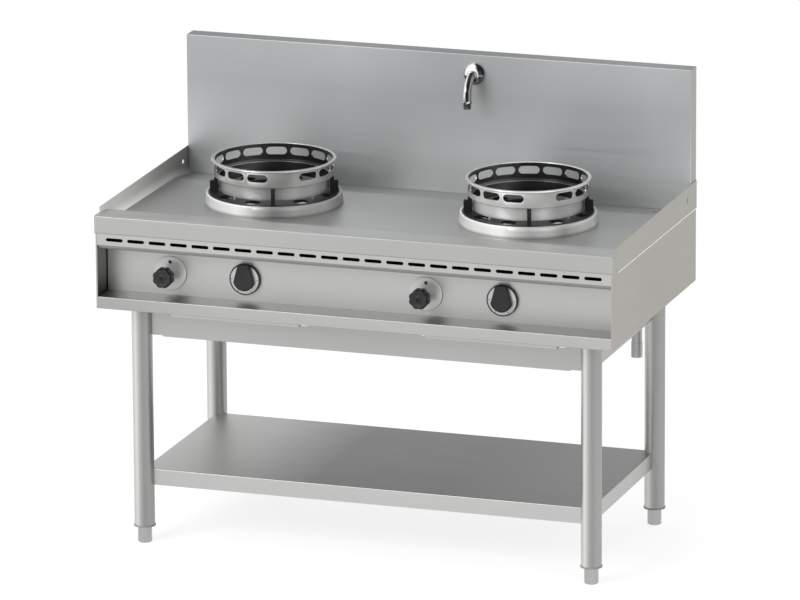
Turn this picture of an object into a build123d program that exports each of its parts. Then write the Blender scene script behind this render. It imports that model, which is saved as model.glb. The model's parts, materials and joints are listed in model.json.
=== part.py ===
from build123d import *
import math
import os

# Two-burner gas wok range on an open stand.
# Frame: X to the right, Y to the back, Z up, origin on the floor under the middle of the range.
# Sizes are in millimetres.

os.makedirs("parts", exist_ok=True)

# ---- overall sizes -------------------------------------------------------------------
WIDTH = 1405.0
DEPTH = 745.0
TOTAL_HEIGHT = 1230.0
WORK_HEIGHT = 902.0
FRONT = -DEPTH / 2
BACK = DEPTH / 2
SHEET = 1.5
SEAT_GAP = 0.3
BEND = 4.0
CUTTER_LENGTH = 12.0

# ---- worktop -------------------------------------------------------------------------
LIP_HEIGHT = 48.0
LIP_RETURN = 14.0
RIM_DEPTH = 85.0
RIM_FALL = 2.0
DECK_DROP = 33.0
GUTTER_FALL = 18.0
GUTTER_WIDTH = 138.0
DECK_FLANGE = 28.0
CHEEK_THICKNESS = 2.0
CHEEK_FRONT = 40.0
CHEEK_RISE_FRONT = 14.0
CHEEK_RISE_BACK = 23.0
CHEEK_FLANGE_DROP = 52.0
CHEEK_FLANGE_FRONT = 45.0
FOLD_RADIUS = 22.0

# ---- splashback ----------------------------------------------------------------------
SPLASH_DEPTH = 47.5
SPLASH_TUCK = 30.0
CHEEK_HOLE = 13.0
CHEEK_HOLE_IN = 85.0
CHEEK_HOLE_DROP = 13.0

# ---- body ----------------------------------------------------------------------------
BODY_INSET = 1.6
BODY_FRONT_INSET = 4.0
BODY_BOTTOM = 652.4
BAND_HEIGHT = 30.5
SILL_HEIGHT = 32.0
SILL_RETURN = 30.0
RECESS_DEPTH = 80.0
SIDE_HEM = 4.0
SIDE_FLANGE = 20.0
SLOT_COUNT = 23
SLOT_PITCH = 59.0
SLOT_LENGTH = 46.5
SLOT_HEIGHT = 9.0
SLOT_DROP = 15.2

# ---- stand ---------------------------------------------------------------------------
LEG_DIAMETER = 54.0
LEG_WALL = 1.6
LEG_SIDE_IN = 88.5
LEG_FRONT_Y = 105.0
LEG_REAR_Y = 665.0
SOCKET_PLATE = 80.0
SOCKET_THICKNESS = 4.0
SOCKET_SPIGOT = 60.0
SPIGOT_CLEARANCE = 0.2
SPIGOT_WALL = 6.4
LEG_BOLT = 8.0
LEG_BOLT_SPACING = 60.0
BOLT_CLEARANCE = 0.5
HEX_HEAD = 13.0
HEX_HEIGHT = 5.3
NUT_HEIGHT = 6.5
FOOT_DIAMETER = 37.0
FOOT_HEIGHT = 44.5
FOOT_STEM = 16.0
FOOT_STEM_LENGTH = 60.0
FOOT_CHAMFER = 2.0
STEM_CLEARANCE = 0.3
INSERT_RIM = 58.0
INSERT_RIM_HEIGHT = 3.5
INSERT_LENGTH = 30.0

SHELF_TOP = 200.0
SHELF_EDGE = 43.0
SHELF_RETURN = 14.0
SHELF_LEG_CLEARANCE = 0.3
STIFFENER_WIDTH = 90.0
STIFFENER_HEIGHT = 36.0
STIFFENER_FOOT = 18.0

APRON_HEIGHT = 90.4
APRON_RETURN = 22.0
APRON_END_STEP = 30.0
APRON_STEP_HEIGHT = 3.0

# ---- drip trays ----------------------------------------------------------------------
TRAY_WIDTH = 382.0
TRAY_DEPTH = 480.0
TRAY_HEIGHT = 24.0
TRAY_FRONT = 80.0
TRAY_TOP_GAP = 4.0
TRAY_SIDE_INSET = 12.0
TRAY_SLOT_MARGIN = 2.5
RUNNER_LEDGE = 10.0
RUNNER_THICKNESS = 1.5

# ---- burners -------------------------------------------------------------------------
BURNER_SIDE_IN = 352.5
BURNER_Y = 400.0
LUG_COUNT = 4
LUG_START = 18.5

COLLAR_BASE_RADIUS = 182.0
COLLAR_TOP_RADIUS = 178.0
COLLAR_HEIGHT = 30.0
COLLAR_WALL = 2.5
COLLAR_TOP_BAND = 3.5
COLLAR_LEDGE_DEPTH = 15.0
COLLAR_SPIGOT_RADIUS = 150.0
COLLAR_SPIGOT_DROP = 14.0
APERTURE_CLEARANCE = 0.5

BOWL_WALL = 2.0
BOWL_THROAT_RADIUS = 105.0
BOWL_MOUTH_RADIUS = 60.0
BOWL_DEPTH = 92.0
PILOT_HOLE = 16.0

CROWN_PLATE = 6.0
CROWN_RISE = 1.0
CROWN_INNER_RADIUS = 118.0
CROWN_SKIRT = 5.0
CROWN_CLEARANCE = 0.5
CROWN_HOLE = 40.0
CROWN_HOLE_RADIUS = 142.5
CROWN_HOLE_ANGLE = 26.0
CROWN_HOLE_TURN = 4.0
LUG_THICKNESS = 10.5
LUG_RING_GAP = 1.0
LUG_TOP_WIDTH = 9.0
LUG_FOOT_RADIUS = 168.5
LUG_SHOULDER = 12.0
LUG_NOSE = 28.5
LUG_CHAMFER = 2.5

RING_LOWER_RADIUS = 145.0
RING_BAND_RADIUS = 157.0
RING_BEAD_RADIUS = 164.5
RING_WALL = 2.0
RING_TOP = 990.0
RING_SHOULDER = 944.5
RING_BOTTOM = 907.5
RING_BEAD_HEIGHT = 5.2
RING_HOLES = 14
RING_HOLE_START = 54.6
RING_HOLE_STEP = 23.75
RING_HOLE_DROP = 21.2
RING_HOLE_LENGTH = 55.0
RING_HOLE_HEIGHT = 20.5
RING_FOOT_WIDTH = 8.0

HEAD_RADIUS = 66.0
HEAD_HEIGHT = 44.0
HEAD_BOTTOM_GAP = 25.0
HEAD_PORTS = 24
HEAD_PORT = 7.0
HEAD_PORT_IN = 14.0
HEAD_CROWN_RADIUS = 40.0
MIXER_RADIUS = 23.0
MIXER_BORE = 19.0
MIXER_Z = 700.0
MIXER_FRONT = 190.0
MIXER_BEND = 45.0
MIXER_FOOT_IN = 70.0
MIXER_FOOT_WIDTH = 36.0
MIXER_FOOT_DEPTH = 22.0
BELL_RADIUS = 29.0
BELL_LENGTH = 26.0
PILOT_RADIUS = 4.5
PILOT_OFFSET_Y = -70.0
PILOT_TOP_RISE = 6.0
PILOT_LIP = 1.5
PILOT_BOTTOM = 790.0
DRIP_HOLE_RADIUS = 75.0

# ---- controls ------------------------------------------------------------------------
CONTROL_Z = 743.0
REGULATOR_OFFSET = -173.0
SAFETY_OFFSET = 34.0
SPINDLE_DIAMETER = 8.0
RUNNING_CLEARANCE = 0.05
PANEL_HOLE = 14.0
DISC_DIAMETER = 90.0
BEZEL_DIAMETER = 83.0
DISC_THICKNESS = 3.0
DISC_BEVEL = 1.2
DISC_MARK = 6.5
DISC_MARK_RADIUS = 29.5
MARK_DEPTH = 0.8
WHEEL_DIAMETER = 56.0
WHEEL_LENGTH = 30.0
WHEEL_STAND_OFF = 65.0
WHEEL_LOBES = 8
WHEEL_FLUTE = 9.0
WHEEL_FLUTE_BITE = 2.6
WHEEL_HUB = 22.0
WHEEL_HUB_LENGTH = 12.0
WHEEL_SPINDLE_IN = 22.0
BEZEL_HEIGHT = 9.0
BEZEL_WALL = 2.0
BEZEL_BASE = 7.0
DIAL_THICKNESS = 1.0
DIAL_BORE = 20.0
KNOB_DIAMETER = 58.0
KNOB_HEIGHT = 8.0
KNOB_POINTER = 41.5
KNOB_POINTER_TIP = 28.0
KNOB_POINTER_FOOT = 50.0
KNOB_GAP = 4.3
KNOB_TAPER = 3.0
SPINDLE_REACH = 26.0
PLUG_DIAMETER = 16.0
PLUG_LENGTH = 26.0
TAP_WIDTH = 34.0
TAP_HEIGHT = 40.0
TAP_LENGTH = 48.5
VALVE_DIAMETER = 26.0
VALVE_LENGTH = 44.0
VALVE_BORE_DEPTH = 26.0

# ---- gas, water and waste ------------------------------------------------------------
MANIFOLD_RADIUS = 13.5
BOSS_RADIUS = 9.0
MANIFOLD_Y = 155.0
MANIFOLD_SIDE_IN = 112.5
GAS_PIPE_RADIUS = 10.5
GAS_PIPE_BEND = 21.0
GAS_THREAD_RADIUS = 13.2
GAS_THREAD_LENGTH = 22.0
GAS_BORE = 8.0
GAS_SIDE_IN = 154.5
GAS_IN = 33.0
GAS_END = 620.0
FEED_RADIUS = 6.0
FEED_BEND = 16.0
FEED_Y = 110.0
PILOT_LINE_RADIUS = 3.0
PILOT_LINE_BEND = 9.0
PILOT_LINE_Z = 775.0
INJECTOR_RADIUS = 8.0
INJECTOR_LENGTH = 20.0

TAP_X = 106.4
TAP_DROP = 51.8
ROSETTE_DIAMETER = 57.0
ROSETTE_HEIGHT = 19.0
ROSETTE_RIM = 3.0
ROSETTE_NECK = 1.5
SPOUT_DIAMETER = 22.0
SPOUT_BORE = 16.0
SPOUT_REACH = 64.0
SPOUT_BEND = 48.0
SPOUT_DROP = 80.3
AERATOR_DIAMETER = 26.5
AERATOR_LENGTH = 22.0
AERATOR_COLLAR = 7.0
NOZZLE_DIAMETER = 22.0
NOZZLE_TAPER = 1.0
WATER_RADIUS = 7.5
WATER_BORE = 6.0
WATER_THREAD_RADIUS = 10.5
WATER_BEND = 12.0
WATER_END = 616.0
WATER_THREAD_LENGTH = 20.0

DRAIN_RADIUS = 14.2
DRAIN_BORE = 13.0
DRAIN_SIDE_IN = 62.5
DRAIN_IN = 95.0
DRAIN_STUB_SIDE_IN = 149.0
DRAIN_STUB_IN = 45.0
DRAIN_RUN_Z = 770.0
DRAIN_END = 444.0
DRAIN_BEND = 30.0
DRAIN_SPIGOT_RADIUS = 15.2
DRAIN_SPIGOT_LENGTH = 40.0
DRAIN_FLANGE = 27.0
DRAIN_FLANGE_THICKNESS = 2.0

SCREW_HEAD = 9.0
SCREW_SHANK = 5.0
SCREW_LENGTH = 12.0
SCREW_SLOT = 1.2
SCREW_LOW = 40.0
SCREW_HIGH = 120.0
SCREW_COLUMNS = 6

# ---- derived places ------------------------------------------------------------------
INNER_HALF = WIDTH / 2 - CHEEK_THICKNESS
BODY_HALF = WIDTH / 2 - BODY_INSET
BODY_INNER = BODY_HALF - SHEET
BODY_FRONT = FRONT + BODY_FRONT_INSET
LIP_BOTTOM = WORK_HEIGHT - LIP_HEIGHT
BODY_TOP = WORK_HEIGHT - CHEEK_FLANGE_DROP
DECK_Z = WORK_HEIGHT - DECK_DROP
GUTTER_Z = DECK_Z - GUTTER_FALL
SPLASH_FRONT = BACK - SPLASH_DEPTH
SPLASH_BOTTOM = GUTTER_Z - SPLASH_TUCK
GUTTER_FOLD = SPLASH_FRONT - GUTTER_WIDTH
BAND_BOTTOM = LIP_BOTTOM - BAND_HEIGHT
SILL_TOP = BODY_BOTTOM + SILL_HEIGHT
PANEL_Y = FRONT + RECESS_DEPTH
SILL_END = BODY_HALF - SIDE_HEM
LEG_X = WIDTH / 2 - LEG_SIDE_IN
LEG_Y = (FRONT + LEG_FRONT_Y, FRONT + LEG_REAR_Y)
LEG_TOP = BODY_BOTTOM - SOCKET_THICKNESS
LEG_BOTTOM = FOOT_HEIGHT + INSERT_RIM_HEIGHT
LEG_RADIUS = LEG_DIAMETER / 2
LEG_BORE = LEG_RADIUS - LEG_WALL
INSERT_RADIUS = LEG_BORE - SPIGOT_CLEARANCE
SPIGOT_BORE = INSERT_RADIUS - SPIGOT_WALL
BURNER_X = WIDTH / 2 - BURNER_SIDE_IN
BURNER_CENTRE_Y = FRONT + BURNER_Y
BURNERS = (("left", -BURNER_X), ("right", BURNER_X))
CORNERS = [(x, y) for y in LEG_Y for x in (-LEG_X, LEG_X)]
CORNER_NAMES = ("front_left", "front_right", "rear_left", "rear_right")
COLLAR_TOP = DECK_Z + COLLAR_HEIGHT
COLLAR_INNER = COLLAR_TOP_RADIUS - COLLAR_TOP_BAND - COLLAR_WALL
LEDGE_TOP = COLLAR_TOP - COLLAR_LEDGE_DEPTH
BOWL_TOP = LEDGE_TOP + BOWL_WALL
BOWL_BOTTOM = BOWL_TOP - BOWL_DEPTH
CROWN_RADIUS = COLLAR_INNER - CROWN_CLEARANCE
CROWN_TOP = COLLAR_TOP + CROWN_RISE
LUG_TOP = RING_SHOULDER - RING_WALL - SEAT_GAP
LUG_INNER = RING_LOWER_RADIUS + LUG_RING_GAP
HEAD_BOTTOM = BOWL_BOTTOM + HEAD_BOTTOM_GAP
HEAD_TOP = HEAD_BOTTOM + HEAD_HEIGHT
TRAY_TOP = BODY_BOTTOM - TRAY_TOP_GAP
TRAY_BOTTOM = TRAY_TOP - TRAY_HEIGHT
TRAY_Y = FRONT + TRAY_FRONT
APRON_Y = FRONT + LEG_FRONT_Y
APRON_BOTTOM = BODY_BOTTOM - APRON_HEIGHT
APRON_HALF = LEG_X - LEG_RADIUS - SEAT_GAP
APRON_CHANNEL_HALF = APRON_HALF - APRON_END_STEP
TAP_TOP = CONTROL_Z + TAP_HEIGHT / 2
TAP_Z = TOTAL_HEIGHT - TAP_DROP
WATER_Y = BACK - SPLASH_DEPTH / 2
DRAIN_X = WIDTH / 2 - DRAIN_SIDE_IN
DRAIN_Y = BACK - DRAIN_IN
DRAIN_STUB_X = WIDTH / 2 - DRAIN_STUB_SIDE_IN
DRAIN_STUB_Y = BACK - DRAIN_STUB_IN
MANIFOLD_HALF = WIDTH / 2 - MANIFOLD_SIDE_IN
GAS_X = GAS_SIDE_IN - WIDTH / 2
GAS_Y = BACK - GAS_IN


def finish(shape, name):
    shape.label = name
    export_step(shape, f"parts/{name}.step")


def front_plane(x, y, z=0.0):
    """Upright plane that faces the front: its x is the range's X and its y is the height."""
    return Plane((x, y, z), x_dir=(1, 0, 0), z_dir=(0, -1, 0))


def upright_axis(x, y):
    return Axis((x, y, 0), (0, 0, 1))


def depth_axis(x, z):
    return Axis((x, 0, z), (0, -1, 0))


def around(x, y, radius, angle, z=0.0):
    """Point on a circle, with the angle counted from the front towards the right."""
    turn = math.radians(angle)
    return (x + radius * math.sin(turn), y - radius * math.cos(turn), z)


def radial_plane(x, y, angle):
    """Upright plane through a vertical axis: its x runs outward and its y is the height."""
    turn = math.radians(angle)
    outward = (math.sin(turn), -math.cos(turn), 0)
    return Plane((x, y, 0), x_dir=outward, z_dir=(-math.cos(turn), -math.sin(turn), 0))


def pipe(points, radius, bend, bore=0.0, mode=Mode.ADD):
    """Add a round tube along straight runs joined by bends, or cut one."""
    with BuildLine() as route:
        FilletPolyline(*points, radius=bend)
    with BuildSketch(Plane(route.line @ 0, z_dir=route.line % 0)) as section:
        Circle(radius)
        if bore:
            Circle(bore, mode=Mode.SUBTRACT)
    sweep(section.sketch, path=route.line, mode=mode)


def deck_height(y):
    """Height of the deck's upper face at a distance back, down the gutter's slope."""
    return DECK_Z - max(0.0, y - GUTTER_FOLD) * GUTTER_FALL / GUTTER_WIDTH


# ---- worktop: front lip and rim, recessed deck, gutter, folded side cheeks ------------
rim_line = [
    (FRONT + LIP_RETURN, LIP_BOTTOM),
    (FRONT, LIP_BOTTOM),
    (FRONT, WORK_HEIGHT),
    (FRONT + RIM_DEPTH, WORK_HEIGHT - RIM_FALL),
    (FRONT + RIM_DEPTH, DECK_Z),
    (GUTTER_FOLD, DECK_Z),
    (SPLASH_FRONT - SEAT_GAP, GUTTER_Z),
    (SPLASH_FRONT - SEAT_GAP, GUTTER_Z - DECK_FLANGE),
]
cheek_line = [
    (FRONT, LIP_BOTTOM),
    (FRONT, WORK_HEIGHT - BEND),
    (FRONT + BEND, WORK_HEIGHT),
    (FRONT + CHEEK_FRONT, WORK_HEIGHT),
    (FRONT + CHEEK_FRONT, WORK_HEIGHT + CHEEK_RISE_FRONT),
    (BACK, WORK_HEIGHT + CHEEK_RISE_BACK),
    (BACK, BODY_TOP),
    (FRONT + CHEEK_FLANGE_FRONT, BODY_TOP),
    (FRONT + CHEEK_FLANGE_FRONT, LIP_BOTTOM),
]
with BuildPart() as worktop:
    with BuildSketch(Plane.YZ):
        with BuildLine():
            FilletPolyline(*rim_line, radius=BEND)
            offset(amount=SHEET, side=Side.RIGHT)
        make_face()
    extrude(amount=INNER_HALF, both=True)
    for side in (-1, 1):
        with BuildSketch(Plane.YZ.offset(side * INNER_HALF)):
            with BuildLine():
                Polyline(*cheek_line, close=True)
            make_face()
            with Locations((BACK - CHEEK_HOLE_IN, WORK_HEIGHT - CHEEK_HOLE_DROP)):
                Circle(CHEEK_HOLE / 2, mode=Mode.SUBTRACT)
        extrude(amount=side * CHEEK_THICKNESS)
    # rounded fold along each side, where the deck and the gutter turn up into the cheek
    for side in (-1, 1):
        for start, run in (
            ((FRONT + RIM_DEPTH, DECK_Z), (0, GUTTER_FOLD - FRONT - RIM_DEPTH, 0)),
            ((GUTTER_FOLD, DECK_Z), (0, GUTTER_WIDTH - SEAT_GAP, -GUTTER_FALL)),
        ):
            with BuildSketch(front_plane(side * INNER_HALF, *start)):
                with Locations((side * (SHEET - FOLD_RADIUS) / 2, (FOLD_RADIUS - SHEET) / 2)):
                    Rectangle(FOLD_RADIUS + SHEET, FOLD_RADIUS + SHEET)
                with Locations((-side * FOLD_RADIUS, FOLD_RADIUS)):
                    Circle(FOLD_RADIUS, mode=Mode.SUBTRACT)
            extrude(amount=math.hypot(*run), dir=run)
    with Locations(*[(x, BURNER_CENTRE_Y, DECK_Z) for _, x in BURNERS]):
        Cylinder(COLLAR_SPIGOT_RADIUS + APERTURE_CLEARANCE, CUTTER_LENGTH, mode=Mode.SUBTRACT)
    with Locations((DRAIN_X, DRAIN_Y, deck_height(DRAIN_Y))):
        Cylinder(DRAIN_RADIUS + APERTURE_CLEARANCE, CUTTER_LENGTH, mode=Mode.SUBTRACT)
    # rebate in the gutter's ends, where the side panels pass behind the cheeks
    for side in (-1, 1):
        with BuildSketch(Plane.XY.offset(BODY_TOP)):
            with Locations((side * (BODY_INNER - SEAT_GAP + INNER_HALF) / 2, GUTTER_FOLD + GUTTER_WIDTH / 2)):
                Rectangle(INNER_HALF - BODY_INNER + SEAT_GAP, GUTTER_WIDTH)
        extrude(amount=-2 * DECK_FLANGE, mode=Mode.SUBTRACT)
finish(worktop.part, "worktop")

# ---- splashback: folded front, top and sides, with a flat cover behind ----------------
flange_half = INNER_HALF - SIDE_FLANGE / 2
cover_screws = [
    (-flange_half + 2 * flange_half * i / (SCREW_COLUMNS - 1), TOTAL_HEIGHT - SIDE_FLANGE / 2)
    for i in range(SCREW_COLUMNS)
]
cover_screws += [(side * flange_half, WORK_HEIGHT + SCREW_LOW) for side in (-1, 1)]
panel_flange_half = BODY_INNER - SIDE_FLANGE / 2
back_screws = [
    (side * panel_flange_half, BODY_BOTTOM + rise)
    for side in (-1, 1)
    for rise in (SCREW_LOW, SCREW_HIGH)
]
with BuildPart() as splashback:
    with BuildSketch(Plane.XY.offset(SPLASH_BOTTOM)):
        with Locations((0, (SPLASH_FRONT + BACK - SHEET) / 2)):
            Rectangle(2 * INNER_HALF, SPLASH_DEPTH - SHEET)
    extrude(amount=TOTAL_HEIGHT - SPLASH_BOTTOM)
    fillet(edges().filter_by(Axis.Z).group_by(Axis.Y)[0], BEND / 2)
    fillet(edges().filter_by(Axis.X).group_by(Axis.Z)[-1].sort_by(Axis.Y)[0], BEND / 2)
    offset(amount=-SHEET, openings=faces().group_by(Axis.Y)[-1] + faces().group_by(Axis.Z)[0])
    with BuildSketch(front_plane(0, BACK - SHEET)):
        with Locations((0, (BODY_TOP + TOTAL_HEIGHT - SHEET) / 2)):
            Rectangle(2 * (INNER_HALF - SHEET), TOTAL_HEIGHT - SHEET - BODY_TOP)
        with Locations((0, (BODY_TOP + TOTAL_HEIGHT) / 2 - SIDE_FLANGE)):
            Rectangle(2 * (INNER_HALF - SIDE_FLANGE), TOTAL_HEIGHT - BODY_TOP, mode=Mode.SUBTRACT)
        with Locations(*cover_screws):
            Circle(SCREW_SHANK / 2 + BOLT_CLEARANCE, mode=Mode.SUBTRACT)
    extrude(amount=SHEET)
    for side in (-1, 1):
        with BuildSketch(Plane.XY.offset(BODY_TOP)):
            with Locations((side * (BODY_INNER - SEAT_GAP + INNER_HALF) / 2, (SPLASH_FRONT + BACK) / 2)):
                Rectangle(INNER_HALF - BODY_INNER + SEAT_GAP, SPLASH_DEPTH)
        extrude(amount=SPLASH_BOTTOM - BODY_TOP, mode=Mode.SUBTRACT)
    with BuildSketch(front_plane(TAP_X, SPLASH_FRONT, TAP_Z)):
        Circle(WATER_RADIUS + APERTURE_CLEARANCE)
    extrude(amount=-2 * SHEET, mode=Mode.SUBTRACT)
finish(splashback.part, "splashback")

with BuildPart() as splashback_cover:
    with BuildSketch(front_plane(0, BACK)):
        with Locations((0, (BODY_TOP + TOTAL_HEIGHT) / 2)):
            Rectangle(2 * (INNER_HALF - SEAT_GAP), TOTAL_HEIGHT - BODY_TOP)
        with Locations(*cover_screws):
            Circle(SCREW_HEAD / 2 + SEAT_GAP, mode=Mode.SUBTRACT)
    extrude(amount=SHEET)
finish(splashback_cover.part, "splashback_cover")

with BuildPart() as panel_screws:
    for x, z in cover_screws + back_screws:
        with BuildSketch(front_plane(x, BACK, z)):
            Circle(SCREW_HEAD / 2)
        extrude(amount=SHEET)
        with BuildSketch(front_plane(x, BACK - SHEET, z)):
            Circle(SCREW_SHANK / 2)
        extrude(amount=SCREW_LENGTH)
        with BuildSketch(front_plane(x, BACK, z)):
            Rectangle(SCREW_HEAD, SCREW_SLOT)
        extrude(amount=SCREW_SLOT / 2, mode=Mode.SUBTRACT)
finish(panel_screws.part, "panel_screws")

# ---- body: side, back and bottom panels ----------------------------------------------
side_line = [
    (BODY_FRONT, BODY_BOTTOM),
    (BODY_FRONT, LIP_BOTTOM),
    (FRONT + CHEEK_FLANGE_FRONT - SEAT_GAP, LIP_BOTTOM),
    (FRONT + CHEEK_FLANGE_FRONT - SEAT_GAP, BODY_TOP),
    (BACK, BODY_TOP),
    (BACK, BODY_BOTTOM),
]
for name, side in (("left_side_panel", -1), ("right_side_panel", 1)):
    with BuildPart() as side_panel:
        with BuildSketch(Plane.YZ.offset(side * BODY_INNER)):
            with BuildLine():
                Polyline(*side_line, close=True)
            make_face()
        extrude(amount=side * SHEET)
        with BuildSketch(Plane.YZ.offset(side * SILL_END)):
            with Locations((BODY_FRONT + SIDE_HEM, (BODY_BOTTOM + LIP_BOTTOM) / 2)):
                Rectangle(2 * SIDE_HEM, LIP_BOTTOM - BODY_BOTTOM)
        extrude(amount=side * (SIDE_HEM - SHEET))
        with BuildSketch(Plane.XY.offset(BODY_BOTTOM + SHEET)):
            with Locations((side * panel_flange_half, (PANEL_Y + BACK) / 2)):
                Rectangle(SIDE_FLANGE, BACK - PANEL_Y - 2 * SIDE_FLANGE)
        extrude(amount=SHEET)
        with BuildSketch(front_plane(0, BACK - SHEET)):
            with Locations((side * panel_flange_half, (BODY_BOTTOM + SPLASH_BOTTOM) / 2)):
                Rectangle(SIDE_FLANGE, SPLASH_BOTTOM - BODY_BOTTOM - SIDE_FLANGE)
            with Locations(*back_screws):
                Circle(SCREW_SHANK / 2 + BOLT_CLEARANCE, mode=Mode.SUBTRACT)
        extrude(amount=SHEET)
    finish(side_panel.part, name)

with BuildPart() as back_panel:
    with BuildSketch(front_plane(0, BACK)):
        with Locations((0, (BODY_BOTTOM + BODY_TOP) / 2)):
            Rectangle(2 * BODY_INNER, BODY_TOP - BODY_BOTTOM)
        with Locations(*back_screws):
            Circle(SCREW_HEAD / 2 + SEAT_GAP, mode=Mode.SUBTRACT)
    extrude(amount=SHEET)
finish(back_panel.part, "back_panel")

leg_bolts_at = [
    (x + dx, y + dy)
    for x, y in CORNERS
    for dx in (-LEG_BOLT_SPACING / 2, LEG_BOLT_SPACING / 2)
    for dy in (-LEG_BOLT_SPACING / 2, LEG_BOLT_SPACING / 2)
]
panel_front = BODY_FRONT + SILL_RETURN
with BuildPart() as bottom_panel:
    with BuildSketch(Plane.XY.offset(BODY_BOTTOM)):
        with Locations((0, (panel_front + BACK - SHEET) / 2)):
            Rectangle(2 * BODY_INNER, BACK - SHEET - panel_front)
        with Locations(*[(x, BURNER_CENTRE_Y) for _, x in BURNERS]):
            Circle(DRIP_HOLE_RADIUS, mode=Mode.SUBTRACT)
        with Locations(*leg_bolts_at):
            Circle(LEG_BOLT / 2 + BOLT_CLEARANCE, mode=Mode.SUBTRACT)
        with Locations((TAP_X, WATER_Y)):
            Circle(WATER_RADIUS + APERTURE_CLEARANCE, mode=Mode.SUBTRACT)
        with Locations((DRAIN_STUB_X, DRAIN_STUB_Y)):
            Circle(DRAIN_RADIUS + APERTURE_CLEARANCE, mode=Mode.SUBTRACT)
        with Locations((GAS_X, GAS_Y)):
            Circle(GAS_PIPE_RADIUS + APERTURE_CLEARANCE, mode=Mode.SUBTRACT)
    extrude(amount=SHEET)
finish(bottom_panel.part, "bottom_panel")

# ---- body front: slotted vent strip, control panel in its recess, sill ----------------
slot_places = [
    ((i - (SLOT_COUNT - 1) / 2) * SLOT_PITCH, LIP_BOTTOM - SLOT_DROP) for i in range(SLOT_COUNT)
]
with BuildPart() as vent_strip:
    with BuildSketch(front_plane(0, BODY_FRONT + SHEET)):
        with Locations((0, (BAND_BOTTOM + LIP_BOTTOM) / 2)):
            Rectangle(2 * SILL_END, BAND_HEIGHT)
        with Locations(*slot_places):
            SlotOverall(SLOT_LENGTH, SLOT_HEIGHT, mode=Mode.SUBTRACT)
    extrude(amount=SHEET)
    with BuildSketch(Plane.XY.offset(BAND_BOTTOM)):
        with Locations((0, (BODY_FRONT + PANEL_Y + SHEET) / 2)):
            Rectangle(2 * SILL_END, PANEL_Y + SHEET - BODY_FRONT)
    extrude(amount=SHEET)
    with BuildSketch(Plane.XY.offset(LIP_BOTTOM - SHEET)):
        with Locations((0, BODY_FRONT + LIP_RETURN / 2)):
            Rectangle(2 * SILL_END, LIP_RETURN)
    extrude(amount=SHEET)
finish(vent_strip.part, "vent_strip")

control_places = [
    (x + shift, CONTROL_Z) for _, x in BURNERS for shift in (REGULATOR_OFFSET, SAFETY_OFFSET)
]
with BuildPart() as control_panel:
    with BuildSketch(front_plane(0, PANEL_Y + SHEET)):
        with Locations((0, (SILL_TOP + BAND_BOTTOM) / 2)):
            Rectangle(2 * SILL_END, BAND_BOTTOM - SILL_TOP)
        with Locations(*control_places):
            Circle(PANEL_HOLE / 2, mode=Mode.SUBTRACT)
    extrude(amount=SHEET)
finish(control_panel.part, "control_panel")

sill_line = [
    (PANEL_Y + SHEET, SILL_TOP),
    (BODY_FRONT, SILL_TOP),
    (BODY_FRONT, BODY_BOTTOM),
    (BODY_FRONT + SILL_RETURN, BODY_BOTTOM),
]
with BuildPart() as sill:
    with BuildSketch(Plane.YZ):
        with BuildLine():
            FilletPolyline(*sill_line, radius=BEND / 2)
            offset(amount=SHEET, side=Side.LEFT)
        make_face()
    extrude(amount=SILL_END, both=True)
finish(sill.part, "sill")

# ---- stand: legs, sockets, feet ------------------------------------------------------
for name, (x, y) in zip(CORNER_NAMES, CORNERS):
    with BuildPart() as leg:
        with BuildSketch(Plane.XY.offset(LEG_BOTTOM)):
            with Locations((x, y)):
                Circle(LEG_RADIUS)
                Circle(LEG_BORE, mode=Mode.SUBTRACT)
        extrude(amount=LEG_TOP - LEG_BOTTOM)
    finish(leg.part, f"{name}_leg")

    with BuildPart() as foot:
        with BuildSketch(Plane.XY):
            with Locations((x, y)):
                Circle(FOOT_DIAMETER / 2)
        extrude(amount=FOOT_HEIGHT)
        chamfer(edges().group_by(Axis.Z)[0], FOOT_CHAMFER)
        with BuildSketch(Plane.XY.offset(FOOT_HEIGHT)):
            with Locations((x, y)):
                Circle(FOOT_STEM / 2)
        extrude(amount=FOOT_STEM_LENGTH)
    finish(foot.part, f"{name}_foot")

with BuildPart() as leg_inserts:
    with BuildSketch(Plane.XY.offset(FOOT_HEIGHT)):
        with Locations(*CORNERS):
            Circle(INSERT_RIM / 2)
            Circle(FOOT_STEM / 2 + STEM_CLEARANCE, mode=Mode.SUBTRACT)
    extrude(amount=INSERT_RIM_HEIGHT)
    with BuildSketch(Plane.XY.offset(LEG_BOTTOM)):
        with Locations(*CORNERS):
            Circle(INSERT_RADIUS)
            Circle(FOOT_STEM / 2 + STEM_CLEARANCE, mode=Mode.SUBTRACT)
    extrude(amount=INSERT_LENGTH)
finish(leg_inserts.part, "leg_inserts")

with BuildPart() as leg_sockets:
    with BuildSketch(Plane.XY.offset(LEG_TOP)):
        with Locations(*CORNERS):
            RectangleRounded(SOCKET_PLATE, SOCKET_PLATE, SOCKET_THICKNESS)
            Circle(SPIGOT_BORE, mode=Mode.SUBTRACT)
        with Locations(*leg_bolts_at):
            Circle(LEG_BOLT / 2 + BOLT_CLEARANCE, mode=Mode.SUBTRACT)
    extrude(amount=SOCKET_THICKNESS)
    with BuildSketch(Plane.XY.offset(LEG_TOP)):
        with Locations(*CORNERS):
            Circle(INSERT_RADIUS)
            Circle(SPIGOT_BORE, mode=Mode.SUBTRACT)
    extrude(amount=-SOCKET_SPIGOT)
finish(leg_sockets.part, "leg_sockets")

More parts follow.
